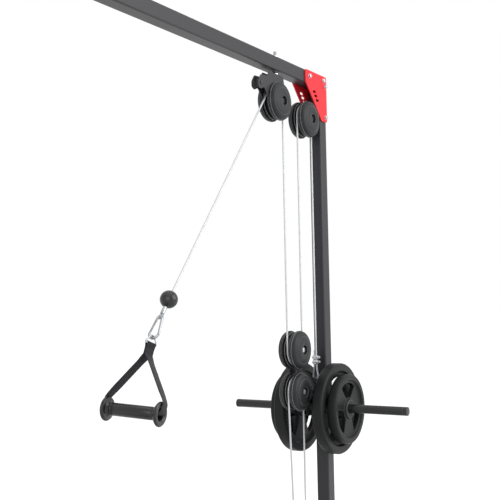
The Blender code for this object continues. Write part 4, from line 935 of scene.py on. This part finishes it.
class STATION_OT_pulleys(bpy.types.Operator):
    """Build the wheels, their covers and bolts, the swivel's yoke and the guide roller"""
    bl_idname = "station.pulleys"
    bl_label = "Pulleys"

    def execute(self, context):
        sizes = context.scene.station_pulleys
        seat = COVER_BASE + COVER_DEPTH - sizes.pocket_depth + GAP
        for prefix, body in (("rear", "frame"), ("front", "swivel"), ("block_upper", "block"),
                             ("block_lower", "block")):
            centre = middle(f"{prefix}_wheel")
            add_piece(f"{prefix}_pulley_wheel", placed(grooved_wheel(sizes), centre), "wheel",
                      f"{prefix}_wheel", f"{prefix}_wheel")
            for word in ("right", "left"):
                cover = pulley_cover(sizes)
                if word == "left":
                    mirrored(cover)
                add_piece(f"{prefix}_shell_{word}", placed(cover, centre), "plastic", body,
                          f"{prefix}_cover_{word}")
            add_piece(f"{prefix}_pulley_bolt", placed(axle_bolt(seat, context), centre),
                      "zinc" if body == "block" else "bar", body, f"{prefix}_axle")
        add_piece("low_pulley_wheel", placed(grooved_wheel(sizes), LOW_WHEEL), "wheel", "low_wheel",
                  "low_wheel")
        add_piece("low_pulley_bolt", placed(axle_bolt(COVER_BASE, context), LOW_WHEEL), "zinc", "frame",
                  "low_axle")
        self.yoke(sizes)
        spread = extent("guide_roller")
        tread = guide_roller(spread.z / 2, 0.0115, spread.x / 2, 0.0043)
        add_piece("guide_tread", placed(tread, ROLLER), "rubber", "guide_roller", "guide_roller")
        return {"FINISHED"}

    def yoke(self, sizes):
        """The swivel's yoke: two shaped cheeks on a bridge, with the roller's riveted pin."""
        top_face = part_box("swivel_yoke")[1][2]
        hole, bridge_half, bridge_height = 0.0053, 0.020, 0.004
        y, z = FRONT_WHEEL.y, FRONT_WHEEL.z
        back, front = ((y + off, top_face - 0.001) for off in YOKE_TOP)
        corners = [back] + [(y + u, z + v) for u, v in YOKE_EDGE]
        corners += [(ROLLER.y + u, ROLLER.z + v) for u, v in ROLLER_LUG]
        corners += [(y + YOKE_STEP[0], z + YOKE_STEP[1]), front]
        outline = eased(corners, sizes.yoke_corner, 6)
        inner = WHEEL_WIDTH / 2 + 0.001
        solids = [placed(softened(sheet(outline, sizes.cheek, [circle(y, z, hole)]), 0.0005), (start, 0, 0),
                         IN_YZ) for start in (inner, -inner - sizes.cheek)]
        half = inner + sizes.cheek - 0.0005
        bridge = sheet(oblong(half, bridge_half, SWIVEL.y), bridge_height, [circle(0, SWIVEL.y, hole)])
        solids.append(placed(softened(bridge, 0.0004), (0, 0, top_face - bridge_height)))
        pin, rivet, seat, tip = 0.004, 0.0052, half + 0.0008, half + 0.0035
        side = [(-tip, rivet), (-seat, rivet), (-seat, pin)]
        solids.append(placed(rod(side + reflected(side), 0.0010, 3, 28), ROLLER))
        add_piece("yoke", merged(solids), "graphite", "swivel", "swivel_yoke", crease=SHEET_CREASE)


# ---- Cables ----

def leaving_point(pitch):
    """Where the handle's line leaves the front wheel."""
    normal = PULL.cross(ACROSS)
    return FRONT_WHEEL + normal * pitch * math.copysign(1, -normal.y)


class STATION_OT_cables(bpy.types.Operator):
    """Lay the upper cable and the lower cable over their wheels"""
    bl_idname = "station.cables"
    bl_label = "Cables"

    def execute(self, context):
        sizes = context.scene.station_cables
        pitch = context.scene.station_pulleys.pitch
        side = Vector((0, pitch, 0))
        turn_point = FRONT_WHEEL + side - Vector((0, 0, sizes.turn_strand))
        loop_top = Vector((0, CARRIAGE_LINE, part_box("carriage_cable_loop")[1][2]))
        self.stretch(sizes, "carriage_line", REAR_WHEEL + side, loop_top, "frame", "carriage",
                     "carriage_strand")
        self.bend(sizes, "rear_wrap", arc(REAR_WHEEL, pitch, 0, 180), "frame", "rear_cable_wrap")
        self.stretch(sizes, "middle_line", REAR_WHEEL - side, BLOCK_UPPER + side, "frame", "block")
        self.bend(sizes, "block_upper_wrap", arc(BLOCK_UPPER, pitch, 0, -180), "block", "block_upper_cable")
        self.stretch(sizes, "front_line", turn_point, BLOCK_UPPER - side, "frame", "block")
        self.stretch(sizes, "turning_line", FRONT_WHEEL + side, turn_point, "swivel", "frame")
        leaving = 180 - math.degrees(PULL_ANGLE)
        self.bend(sizes, "front_wrap", arc(FRONT_WHEEL, pitch, 0, leaving), "swivel", "front_cable_wrap")
        # Swings with the handle's line and fills the gap that opens behind it; at rest it lies in the wrap
        self.bend(sizes, "front_wrap_tail", arc(FRONT_WHEEL, pitch - 0.0002, 95, leaving), "upper_line",
                  radius=sizes.radius - 0.0003)
        into_ball = 0.001
        ball_face = BALL - PULL * (context.scene.station_handle.ball - into_ball)
        self.stretch(sizes, "handle_line", leaving_point(pitch), ball_face, "upper_line", "handle_end",
                     "handle_strand")
        self.lower_cable(sizes, pitch, side)
        return {"FINISHED"}

    def lower_cable(self, sizes, pitch, side):
        """From its stud over the block's lower wheel, round the low wheel and to its stop ball."""
        stud = Vector((0, BLOCK_LOWER.y + pitch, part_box("low_pulley_bracket")[1][2] + GAP))
        self.stretch(sizes, "anchor_line", stud, BLOCK_LOWER + side, "frame", "block")
        self.bend(sizes, "block_lower_wrap", arc(BLOCK_LOWER, pitch, 0, 180), "block", "lower_cable")
        self.stretch(sizes, "low_line", LOW_WHEEL + side, BLOCK_LOWER - side, "frame", "block")
        self.bend(sizes, "low_wrap", arc(LOW_WHEEL, pitch, 0, -90, 24), "frame")
        leaving = LOW_WHEEL - Vector((0, 0, pitch))
        end = Vector((0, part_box("low_cable_stop")[1][1], leaving.z))
        self.stretch(sizes, "low_end_line", leaving, end, "frame", "low_end")

    def stretch(self, sizes, name, start, end, fixed, moving, *nodes):
        """A straight strand from one body to another."""
        spacing = min(sizes.spacing, (end - start).length / 12)
        item = show(name, strand([start, end], sizes.radius, spacing), "cable")
        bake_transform(item)
        if nodes:
            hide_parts(*nodes)

    def bend(self, sizes, name, route, body, *nodes, radius=None):
        """A bent length of cable on one body."""
        add_piece(name, strand(route, radius or sizes.radius, 0.003), "cable", body, *nodes)


# ---- Carriage ----

class STATION_OT_carriage(bpy.types.Operator):
    """Add the bar's skin and caps, the welds, the cable's clips, loop and thimble, and the buffer"""
    bl_idname = "station.carriage"
    bl_label = "Carriage"

    def execute(self, context):
        plates = context.scene.station_plates
        cables = context.scene.station_cables
        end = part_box("carriage_frame")[1][0]
        centre = Vector((0, PLATE_CENTRE.y, PLATE_CENTRE.z + plates.bore - plates.bar - GAP))
        for word in ("right", "left"):
            for name, make, finish in (("bar", self.bar_end, "bar"), ("bar_cap", self.bar_cap, "grip")):
                piece = make(plates, end)
                if word == "left":
                    mirrored(piece)
                add_piece(f"{name}_{word}", placed(piece, centre), finish, "carriage")
        self.welds(centre)
        self.clips()
        self.loop(cables)
        self.buffer()
        # A fine ring over the welded eye that the cable's end hangs in
        rise, ring, wire = 0.092, 0.0105, 0.0035
        eye = Vector((-cables.radius - GAP, CARRIAGE_LINE, centre.z + rise))
        add_piece("eye_ring", strand(arc(eye, ring, -100, 250, 70), wire, 0.0010), "graphite", "carriage")
        return {"FINISHED"}

    def bar_end(self, plates, end):
        """The bar's round skin from its collar to its end, a hair outside the solid."""
        radius, core = plates.bar + 0.00015, plates.bar - 0.001
        collar, stop, stop_width, cap = 0.0282, 0.0517, 0.0050, 0.0128
        profile = [(stop - stop_width, core), (stop - stop_width, collar), (stop, collar), (stop, radius),
                   (end - cap, radius), (end - cap, core)]
        return turned(eased(profile, 0.0008, 3), 48)

    def bar_cap(self, plates, end):
        """A plug over the bar's end, slim enough for a plate to pass."""
        radius, start = plates.bar + 0.00025, end - 0.012
        profile = [(start, plates.bar - 0.001), (start, radius), (end + 0.0015, radius),
                   (end + 0.0025, radius * 0.6), (end + 0.0025, 0.0)]
        return turned(eased(profile, 0.0012, 4, closed=False), 48, hollow=False)

    def welds(self, centre):
        """Beads where the cheeks meet the sleeve and the bar."""
        sleeve, cheek = 0.0296, 0.0050
        beads = []
        for side in (1, -1):
            ring = arc((side * (sleeve + cheek), centre.y, centre.z), 0.0145, 0, 360, 24)
            beads.append(weld_bead(ring, 0.0020))
            for rise in (-0.0306, 0.0526):
                ends = [Vector((side * sleeve, y, centre.z + rise)) for y in (-0.024, 0.020)]
                beads.append(weld_bead(ends, 0.0018))
        add_piece("carriage_welds", merged(beads), "graphite", "carriage")

    def clips(self):
        """Two wire rope clips: a rounded saddle, the ends of its bow, and two nuts on threaded ends."""
        width, half, leg = 0.016, 0.0075, 0.0026
        for word in ("upper", "lower"):
            node = f"{word}_cable_clip"
            low, high = (Vector(corner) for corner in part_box(node))
            centre = Vector((low.x + width / 2, CARRIAGE_LINE, (low.z + high.z) / 2))
            saddle = bmesh.new()
            bmesh.ops.create_cube(saddle, size=1.0)
            bmesh.ops.scale(saddle, vec=(width, 2 * half, high.z - low.z + 0.0021), verts=saddle.verts)
            solids = [placed(softened(saddle, 0.0020, 4), centre)]
            for side in (half, -half):
                seat = Vector((low.x + width, CARRIAGE_LINE + side, centre.z))
                nut = [hexagon(0.008, 0.0046, 0.0003), thread(0.0022, 0.004, 0.0062),
                       washer(0.0049, 0.002, 0.0006, -0.0003)]
                legs = rod([(-width - 0.0008, leg), (0.0, leg)], 0.001, 3, 16)
                solids += [placed(merged(nut), seat), placed(legs, seat)]
            add_piece(f"{word}_clip", merged(solids), "zinc", "carriage", node)

    def loop(self, cables):
        """The cable's end: through the clips, round its thimble in the eye, and up to the tail."""
        low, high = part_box("carriage_cable_loop")
        radius, side = cables.radius, 0.0095
        offset = radius + GAP
        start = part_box("lower_cable_clip")[0][2] - 0.004
        turn_z = low[2] + radius + side
        down = [(offset, high[2]), (offset, start), (offset + 0.45 * (side - offset), (start + turn_z) / 2),
                (side, turn_z)]
        outline = down + bow(0, turn_z, side, -12, -168, 13) + reflected(down[1:])
        outline.append((-offset, high[2] - 0.012))
        route = [Vector((u - offset, CARRIAGE_LINE, z)) for u, z in outline]
        add_piece("carriage_loop", strand(smoothed(route, 2), radius, 0.0025), "cable", "carriage",
                  "carriage_cable_loop")
        inside = side - radius - 0.0005
        leg = [(inside, turn_z + 0.018), (inside, turn_z)]
        lining = leg + bow(0, turn_z, inside, -15, -165, 10) + reflected(leg)
        band = strand([Vector((u, z, 0)) for u, z in lining], 0.0005, 0.002, width=0.0078, roundness=1)
        turn = basis((1, 0, 0), (0, 0, 1), (0, -1, 0))
        add_piece("cable_thimble", placed(band, (-offset, CARRIAGE_LINE, 0), turn), "zinc", "carriage")

    def buffer(self):
        """The rubber ring that the carriage comes down on, with a groove round it."""
        low, high = (Vector(corner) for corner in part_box("carriage_buffer"))
        half, hole, height = (high.x - low.x) / 2, TUBE / 2 + GAP, high.z - low.z
        core = half - 0.003
        outline = eased(oblong(half, half), 0.014, 6)
        neck = eased(oblong(core, core), 0.012, 6)
        inner = eased(oblong(hole, hole), 0.004, 4)
        # Start and height of each ring as shares of the buffer's height; the neck joins the other two
        rings = [placed(softened(sheet(outline, tall * height, [inner]), 0.0016, 3),
                        (0, 0, low.z + start * height)) for start, tall in ((0.0, 0.45), (0.5, 0.5))]
        rings.append(placed(sheet(neck, 0.2 * height, [inner]), (0, 0, low.z + 0.38 * height)))
        add_piece("buffer", merged(rings), "rubber", "frame", "carriage_buffer")


# ---- Weight plates ----

def grip_openings(inner, outer):
    """Outlines of the three openings that a hand lifts a plate by."""
    spread = 34
    return [eased(bow(0, 0, outer, centre - spread, centre + spread, 8)
                  + bow(0, 0, inner, centre + 0.7 * spread, centre - 0.7 * spread, 8), 0.0065, 4)
            for centre in (90, 210, 330)]


def weight_plate(radius, width, rim, opening, sizes):
    """A plate about X: raised rim and hub, eased edges, and three openings through its web."""
    half, web, soft = width / 2, sizes.web / 2, sizes.rounding
    dish, start = radius - rim, sizes.hub + sizes.grip_start
    face = [(half, sizes.bore), (half, sizes.hub), (web + 0.002, sizes.hub + 0.003), (web, sizes.hub + 0.006),
            (web, dish - 0.006), (web + 0.002, dish - 0.003), (half - 0.0012, dish), (half, dish + 0.002),
            (half, radius - soft), (half - soft * 0.35, radius - soft * 0.35), (half - soft, radius)]
    disc = as_object("plate", turned(eased(face + reflected(face), 0.0022, 3), sizes.steps))
    tool = as_object("openings", merged([placed(sheet(outline, 2 * width), (-width, 0, 0), IN_YZ)
                                         for outline in grip_openings(start, start + opening)]))
    cut = disc.modifiers.new("Openings", "BOOLEAN")
    cut.operation, cut.object, cut.solver = "DIFFERENCE", tool, "EXACT"
    bm = baked(disc)
    bpy.data.objects.remove(tool)
    # The openings' lips lie in the web's two faces
    lips = [e for e in sharp_edges(bm, 60) if all(abs(abs(v.co.x) - web) < 1e-5 for v in e.verts)]
    return tidied(rounded(bm, lips, 0.0014, 3))


class STATION_OT_plates(bpy.types.Operator):
    """Hang a large and a small weight plate on each end of the bar"""
    bl_idname = "station.plates"
    bl_label = "Weight plates"

    def execute(self, context):
        sizes = context.scene.station_plates
        for word in ("right", "left"):
            for kind, rim, opening in (("large", sizes.large_rim, sizes.large_grip),
                                       ("small", sizes.small_rim, sizes.small_grip)):
                node = f"{kind}_plate_{word}"
                spread = extent(node)
                plate = weight_plate(spread.z / 2, spread.x, rim, opening, sizes)
                add_piece(f"{kind}_disc_{word}", placed(plate, middle(node)), "plate", f"{word}_plates",
                          node)
        return {"FINISHED"}


# ---- Handle ----

def stop_ball(radius, bore=0.0045):
    """A moulded ball about X in two halves, with its seam and a countersunk hole at each pole."""
    seam_depth, seam_width, sink = 0.0005, 0.02, 0.004
    tip = math.asin(bore / radius)
    profile = []
    for i in range(41):
        a = tip + (math.pi - 2 * tip) * i / 40
        skin = radius - seam_depth * math.exp(-((a - math.pi / 2) / seam_width) ** 2)
        profile.append((-skin * math.cos(a), skin * math.sin(a)))
    hole = [(profile[-1][0] - sink, bore * 0.6), (profile[0][0] + sink, bore * 0.6)]
    return turned(profile + hole, 64)


def cable_eye(sizes, start, way):
    """A smooth swaged ferrule and the eye under it, from start along way."""
    half, wire, sleeve = sizes.eye_half, sizes.eye_wire, sizes.ferrule_length
    reach = sleeve + sizes.eye - wire - half
    neck = wire + GAP
    leg = [(sleeve - 0.004, neck), (sleeve + 0.002, neck)]
    outline = leg + bow(reach, 0, half, 90, -90, 18) + [(along, -side) for along, side in reversed(leg)]
    route = smoothed([start + way * along + ACROSS * side for along, side in outline], 1)
    ferrule = rod([(0.0, sizes.ferrule), (sleeve, sizes.ferrule)], 0.0012, 4, 40)
    return merged([placed(ferrule, start, pointing(way)), strand(route, wire, 0.0015)])


def snap_hook(sizes, top, way):
    """The snap hook's bow and its gate, as routes."""
    upper, lower = 0.0085, 0.0148
    straight = sizes.hook_length - 2 * sizes.hook_wire - upper - lower
    tilt = math.degrees(math.asin((lower - upper) / straight))
    outline = bow(upper, 0, upper, 270 - tilt, 90 + tilt, 18)
    outline += bow(upper + straight, 0, lower, 90 + tilt, -90 - tilt, 24)
    body = [top + way * along + ACROSS * side for along, side in outline]
    slack = (body[-1] - body[0]).normalized() * 0.0016
    return body, [body[0] + slack, body[-1] - slack]


def twisted(bm):
    """The same band along +Y, turned on its way down: fully at the ring, not at all at the grip."""
    for vertex in bm.verts:
        angle = TWIST[0][1] if vertex.co.y < 0 else 0.0
        for (start, first), (end, last) in zip(TWIST, TWIST[1:]):
            if start <= vertex.co.y < end:
                share = (vertex.co.y - start) / (end - start)
                angle = first + (last - first) * share * share * (3 - 2 * share)
        vertex.co.x += vertex.co.z * math.sin(angle)
        vertex.co.z *= math.cos(angle)
    return bm


class STATION_OT_handle(bpy.types.Operator):
    """Build the stop balls, the cable eyes, the snap hook, the ring, the webbing and the grip"""
    bl_idname = "station.handle"
    bl_label = "Handle"

    def execute(self, context):
        sizes = context.scene.station_handle
        # The ferrule is seated where its rim meets the ball
        flat = math.sqrt(sizes.ball ** 2 - sizes.ferrule ** 2)
        start = BALL + PULL * (flat + GAP)
        self.end_stop(sizes, "stop_ball", "handle_eye", BALL, start, PULL, "handle_end",
                      ("ball_stop", "cable_end_eye"))
        way = hanging(HOOK_ANGLE)
        eye_low = start + PULL * (sizes.ferrule_length + sizes.eye - sizes.eye_wire)
        top = eye_low - way * (sizes.eye_wire + sizes.hook_wire + GAP)
        self.hook(sizes, top, way)
        self.handle(sizes, top + way * (sizes.hook_length - 2 * sizes.hook_wire))
        # The lower cable's free end: the same ball, ferrule and eye, pressed together
        level = Vector((0, -1, 0))
        pitch = context.scene.station_pulleys.pitch
        ball = Vector((0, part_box("low_cable_stop")[1][1] - flat, LOW_WHEEL.z - pitch))
        self.end_stop(sizes, "low_ball", "low_eye", ball, ball + level * (flat - 0.004), level, "low_end",
                      ("low_cable_stop",))
        return {"FINISHED"}

    def end_stop(self, sizes, ball_name, eye_name, ball, eye, way, body, nodes):
        """A stop ball about a point, and the ferrule and eye that follow it; they stand for the nodes."""
        add_piece(ball_name, placed(stop_ball(sizes.ball), ball, pointing(way)), "grip", body, nodes[0])
        add_piece(eye_name, cable_eye(sizes, eye, way), "nickel", body, *nodes[1:])

    def hook(self, sizes, top, way):
        """The bow with its rounded nose, and the gate with its rivet."""
        body, gate = snap_hook(sizes, top, way)
        add_piece("snap_hook", strand(body, sizes.hook_wire, 0.0012), "nickel", "hook", "carabiner")
        line = (gate[1] - gate[0]).normalized()
        wire = sizes.hook_wire - 0.0006
        pin, half = 0.0016, wire + 0.0008
        rivet = placed(rod([(-half, pin), (half, pin)], 0.0006, 3, 20), gate[0] + line * 0.0045,
                       pointing(way.cross(ACROSS)))
        add_piece("hook_latch", merged([strand(gate, wire, 0.002), rivet]), "nickel", "hook_gate",
                  "carabiner_gate")

    def handle(self, sizes, hook_low):
        """The ring on the hook, the webbing through it and the grip on the webbing."""
        down = hanging(HANDLE_ANGLE)
        level = Vector((math.cos(GRIP_TURN), math.sin(GRIP_TURN), 0))
        level = (level - down * level.dot(down)).normalized()
        wide = level.cross(down)
        ring_top = hook_low - down * (sizes.hook_wire + sizes.ring_wire + GAP)
        depth, half = sizes.ring_height - 2 * sizes.ring_wire, sizes.ring_half
        outline = eased([(0.0, -0.006), (0.0, 0.006), (depth, half), (depth, -half)], 0.0030, 8)
        across = wide * math.cos(STRAP_TWIST) + level * math.sin(STRAP_TWIST)
        route = [ring_top + down * u + across * v for u, v in outline]
        add_piece("ring", strand(route, sizes.ring_wire, 0.0012, closed=True), "nickel", "handle",
                  "handle_ring")
        bar_at, turn = ring_top + down * depth, basis(level, down, wide)
        add_piece("strap", placed(twisted(self.webbing(sizes)), bar_at, turn), "webbing", "handle",
                  "handle_strap")
        add_piece("strap_stitching", placed(twisted(self.stitches(sizes)), bar_at, turn), "thread", "handle")
        # The grip's own Z points away from the pull
        self.grip(sizes, bar_at + down * sizes.strap_drop, basis(level, -down.cross(level), -down))

    def webbing(self, sizes):
        """One loop of webbing, over the ring's bar, down both sides and through the grip."""
        half = sizes.strap_thick / 2
        inner = half + GAP
        outside = sizes.grip_half + GAP + 0.001 + half
        bottom = sizes.strap_drop
        flange_top = bottom - sizes.flange
        over = bow(0, 0, sizes.ring_wire + inner, -215, 35, 16)
        side = [(inner, 0.0135), (inner, 0.030), (0.006, 0.036), (outside - 0.004, flange_top - 0.004),
                (outside, flange_top + 0.004), (outside, bottom - 0.010), (outside - 0.003, bottom - 0.003),
                (outside - 0.010, bottom)]
        route = [Vector((u, v, 0)) for u, v in eased(over + side + reflected(side), 0.010, 5)]
        return strand(route, half * 0.98, 0.0022, closed=True, width=sizes.strap_width, roundness=3)

    def stitches(self, sizes):
        """A sewn box with a cross, on both faces of the strap's neck."""
        face = sizes.strap_thick + GAP + 0.00005
        half = sizes.strap_width / 2 - 0.003
        top, bottom, pitch, radius = 0.0150, 0.0285, 0.0032, 0.0004
        corners = [Vector((0, y, z)) for y, z in ((top, -half), (top, half), (bottom, half), (bottom, -half))]
        lines = list(zip(corners, corners[1:] + corners[:1]))
        lines += [(corners[0], corners[2]), (corners[1], corners[3])]
        # Each stitch starts and ends sunk in the webbing and stands a hair proud in its middle
        sunk, proud = face - 0.0003, face + 0.0001
        threads = []
        for side in (1, -1):
            for a, b in lines:
                stitches = max(3, round((b - a).length / pitch))
                for k in range(stitches):
                    start, end = a.lerp(b, (k + 0.14) / stitches), a.lerp(b, (k + 0.86) / stitches)
                    route = [point + Vector((side * off, 0, 0))
                             for point, off in ((start, sunk), (start.lerp(end, 0.5), proud), (end, sunk))]
                    threads.append(strand(route, radius, 0.0012, roundness=1))
        return merged(threads)

    def grip(self, sizes, centre, turn):
        """The grip's core with a cupped flange at each end, and its smooth sleeve with a groove near each."""
        end, flange, skin = sizes.grip_half, sizes.flange, sizes.sleeve
        inner = end - 0.010
        neck, core = inner - 0.006, 0.0145
        half = [(end - 0.012, 0.0132), (end - 0.003, 0.0158), (end, 0.0200), (end, flange - 0.0035),
                (end - 0.003, flange), (end - 0.006, flange), (inner, flange - 0.0035),
                (inner - 0.001, 0.0200), (neck, core)]
        body = turned(eased(half + reflected(half), 0.0032, 5), 64)
        add_piece("grip_body", placed(body, centre, turn), "grip", "grip", "grip_core")
        reach = neck - GAP
        groove, groove_half = reach - 0.007, 0.0010
        side = [(-reach, core + GAP), (-reach, skin - 0.0008), (-reach + 0.0012, skin),
                (-groove - groove_half, skin), (-groove, skin - 0.0005), (-groove + groove_half, skin)]
        add_piece("grip_rubber", placed(turned(side + reflected(side), 56), centre, turn), "grip", "grip",
                  "grip_sleeve")


# ---- Stage ----

def seen_rays(tree):
    """1 for the rays that show the backdrop: from the camera, off a gloss or through a clear thing."""
    rays = add_node(tree, "ShaderNodeLightPath").outputs
    near = add_node(tree, "ShaderNodeMath", links={rays["Is Camera Ray"]: 0, rays["Is Glossy Ray"]: 1},
                    operation="MAXIMUM")
    every = add_node(tree, "ShaderNodeMath", links={near.outputs[0]: 0, rays["Is Transmission Ray"]: 1},
                     operation="MAXIMUM")
    return every.outputs[0]


class STATION_OT_stage(bpy.types.Operator):
    """Set the floor, the lamps, the world and the camera"""
    bl_idname = "station.stage"
    bl_label = "Stage"

    def execute(self, context):
        settings = context.scene.station_stage
        self.floor(context.scene.station_colours.floor)
        self.world(context.scene, settings.sky)
        for name, place, size, power in (("key", (3.2, 0.6, 2.6), 3.0, settings.key),
                                         ("top", (0.4, -0.8, 4.2), 3.0, settings.top),
                                         ("fill", (0.9, -3.0, 1.9), 1.8, settings.fill)):
            self.lamp(name, place, size, power)
        self.camera(context.scene, settings)
        context.scene.view_settings.view_transform = "Standard"
        return {"FINISHED"}

    def floor(self, tint):
        """A wide pale floor that the camera sees as bright as the backdrop, shadows kept."""
        bm = bmesh.new()
        bmesh.ops.create_circle(bm, cap_ends=True, segments=128, radius=60.0)
        item = as_object("floor", bm)
        material = bpy.data.materials.new("pale_floor")
        material.use_nodes = True
        tree = material.node_tree
        sockets = tree.nodes["Principled BSDF"].inputs
        for name, value in (("Base Color", (*tint, 1)), ("Roughness", 0.9), ("Specular IOR Level", 0.0),
                            ("Emission Color", (1, 1, 1, 1))):
            sockets[name].default_value = value
        # The glow fades between these distances of the station's middle, so that its shadow shows
        place = add_node(tree, "ShaderNodeTexCoord").outputs["Object"]
        reach = add_node(tree, "ShaderNodeVectorMath", {1: (0.0, -1.0, 0.0)}, {place: 0},
                         operation="DISTANCE")
        fade = {"From Min": 1.2, "From Max": 3.2, "To Min": 0.10, "To Max": 0.62}
        level = add_node(tree, "ShaderNodeMapRange", fade, {reach.outputs["Value"]: "Value"},
                         interpolation_type="SMOOTHSTEP")
        glow = add_node(tree, "ShaderNodeMath", links={seen_rays(tree): 0, level.outputs["Result"]: 1},
                        operation="MULTIPLY")
        tree.links.new(glow.outputs[0], sockets["Emission Strength"])
        item.data.materials.append(material)

    def world(self, scene, sky):
        """White for the camera and for reflections, and a softer even light for the rest."""
        world = bpy.data.worlds.new("studio")
        world.use_nodes = True
        tree = world.node_tree
        back = tree.nodes["Background"]
        level = add_node(tree, "ShaderNodeMapRange", {"To Min": sky, "To Max": 1.0},
                         {seen_rays(tree): "Value"})
        tree.links.new(level.outputs["Result"], back.inputs["Strength"])
        back.inputs["Color"].default_value = (1, 1, 1, 1)
        scene.world = world

    def lamp(self, name, place, size, power):
        """A large soft square lamp that looks at the station's middle."""
        data = bpy.data.lights.new(name, "AREA")
        data.shape, data.size, data.energy = "SQUARE", size, power
        item = bpy.data.objects.new(name, data)
        item.location = place
        look = Vector((0, -0.4, 1.3)) - Vector(place)
        item.rotation_euler = look.to_track_quat("-Z", "Y").to_euler()
        bpy.context.scene.collection.objects.link(item)

    def camera(self, scene, settings):
        """The photograph's view, its directions solved from the straight tubes and cables."""
        forward = Vector((-0.52783, 0.84714, 0.06123)).normalized()
        right = Vector((0.84797, 0.52971, -0.01879))
        up = right.cross(forward).normalized()
        right = forward.cross(up)
        data = bpy.data.cameras.new("camera")
        data.sensor_width = 36.0
        data.lens = settings.focal
        item = bpy.data.objects.new("camera", data)
        item.matrix_world = Matrix.Translation(settings.place) @ basis(right, up, -forward)
        scene.collection.objects.link(item)
        scene.camera = item


class STATION_PT_panel(bpy.types.Panel):
    """Lists the station's builders"""
    bl_idname = "STATION_PT_panel"
    bl_label = "Cable Station"
    bl_space_type = "VIEW_3D"
    bl_region_type = "UI"
    bl_category = "Station"

    def draw(self, context):
        for operator in OPERATORS:
            self.layout.operator(operator.bl_idname)
        for name in GROUPS:
            group = getattr(context.scene, name)
            self.layout.label(text=name.replace("_", " ").title())
            for prop in group.__annotations__:
                self.layout.prop(group, prop)


GROUPS = {
    "station_colours": StationColours,
    "station_pulleys": PulleySizes,
    "station_cables": CableSizes,
    "station_fasteners": FastenerSizes,
    "station_plates": PlateSizes,
    "station_handle": HandleSizes,
    "station_stage": StageSettings,
}
OPERATORS = (STATION_OT_frame, STATION_OT_bolts, STATION_OT_pulleys, STATION_OT_cables, STATION_OT_carriage,
             STATION_OT_plates, STATION_OT_handle, STATION_OT_stage)


def register():
    """Adds the properties, the operators and the panel."""
    for cls in (*GROUPS.values(), *OPERATORS, STATION_PT_panel):
        bpy.utils.register_class(cls)
    for name, group in GROUPS.items():
        setattr(bpy.types.Scene, name, PointerProperty(type=group))


def unregister():
    """Takes them away again."""
    for name in GROUPS:
        delattr(bpy.types.Scene, name)
    for cls in (STATION_PT_panel, *reversed(OPERATORS), *reversed(GROUPS.values())):
        bpy.utils.unregister_class(cls)


def main():
    """Builds everything in order."""
    register()
    make_finishes(bpy.context.scene.station_colours)
    bpy.ops.station.frame()
    bpy.ops.station.bolts()
    bpy.ops.station.pulleys()
    bpy.ops.station.cables()
    bpy.ops.station.carriage()
    bpy.ops.station.plates()
    bpy.ops.station.handle()
    bpy.ops.station.stage()
    bpy.context.view_layer.update()


if __name__ == "__main__":
    main()
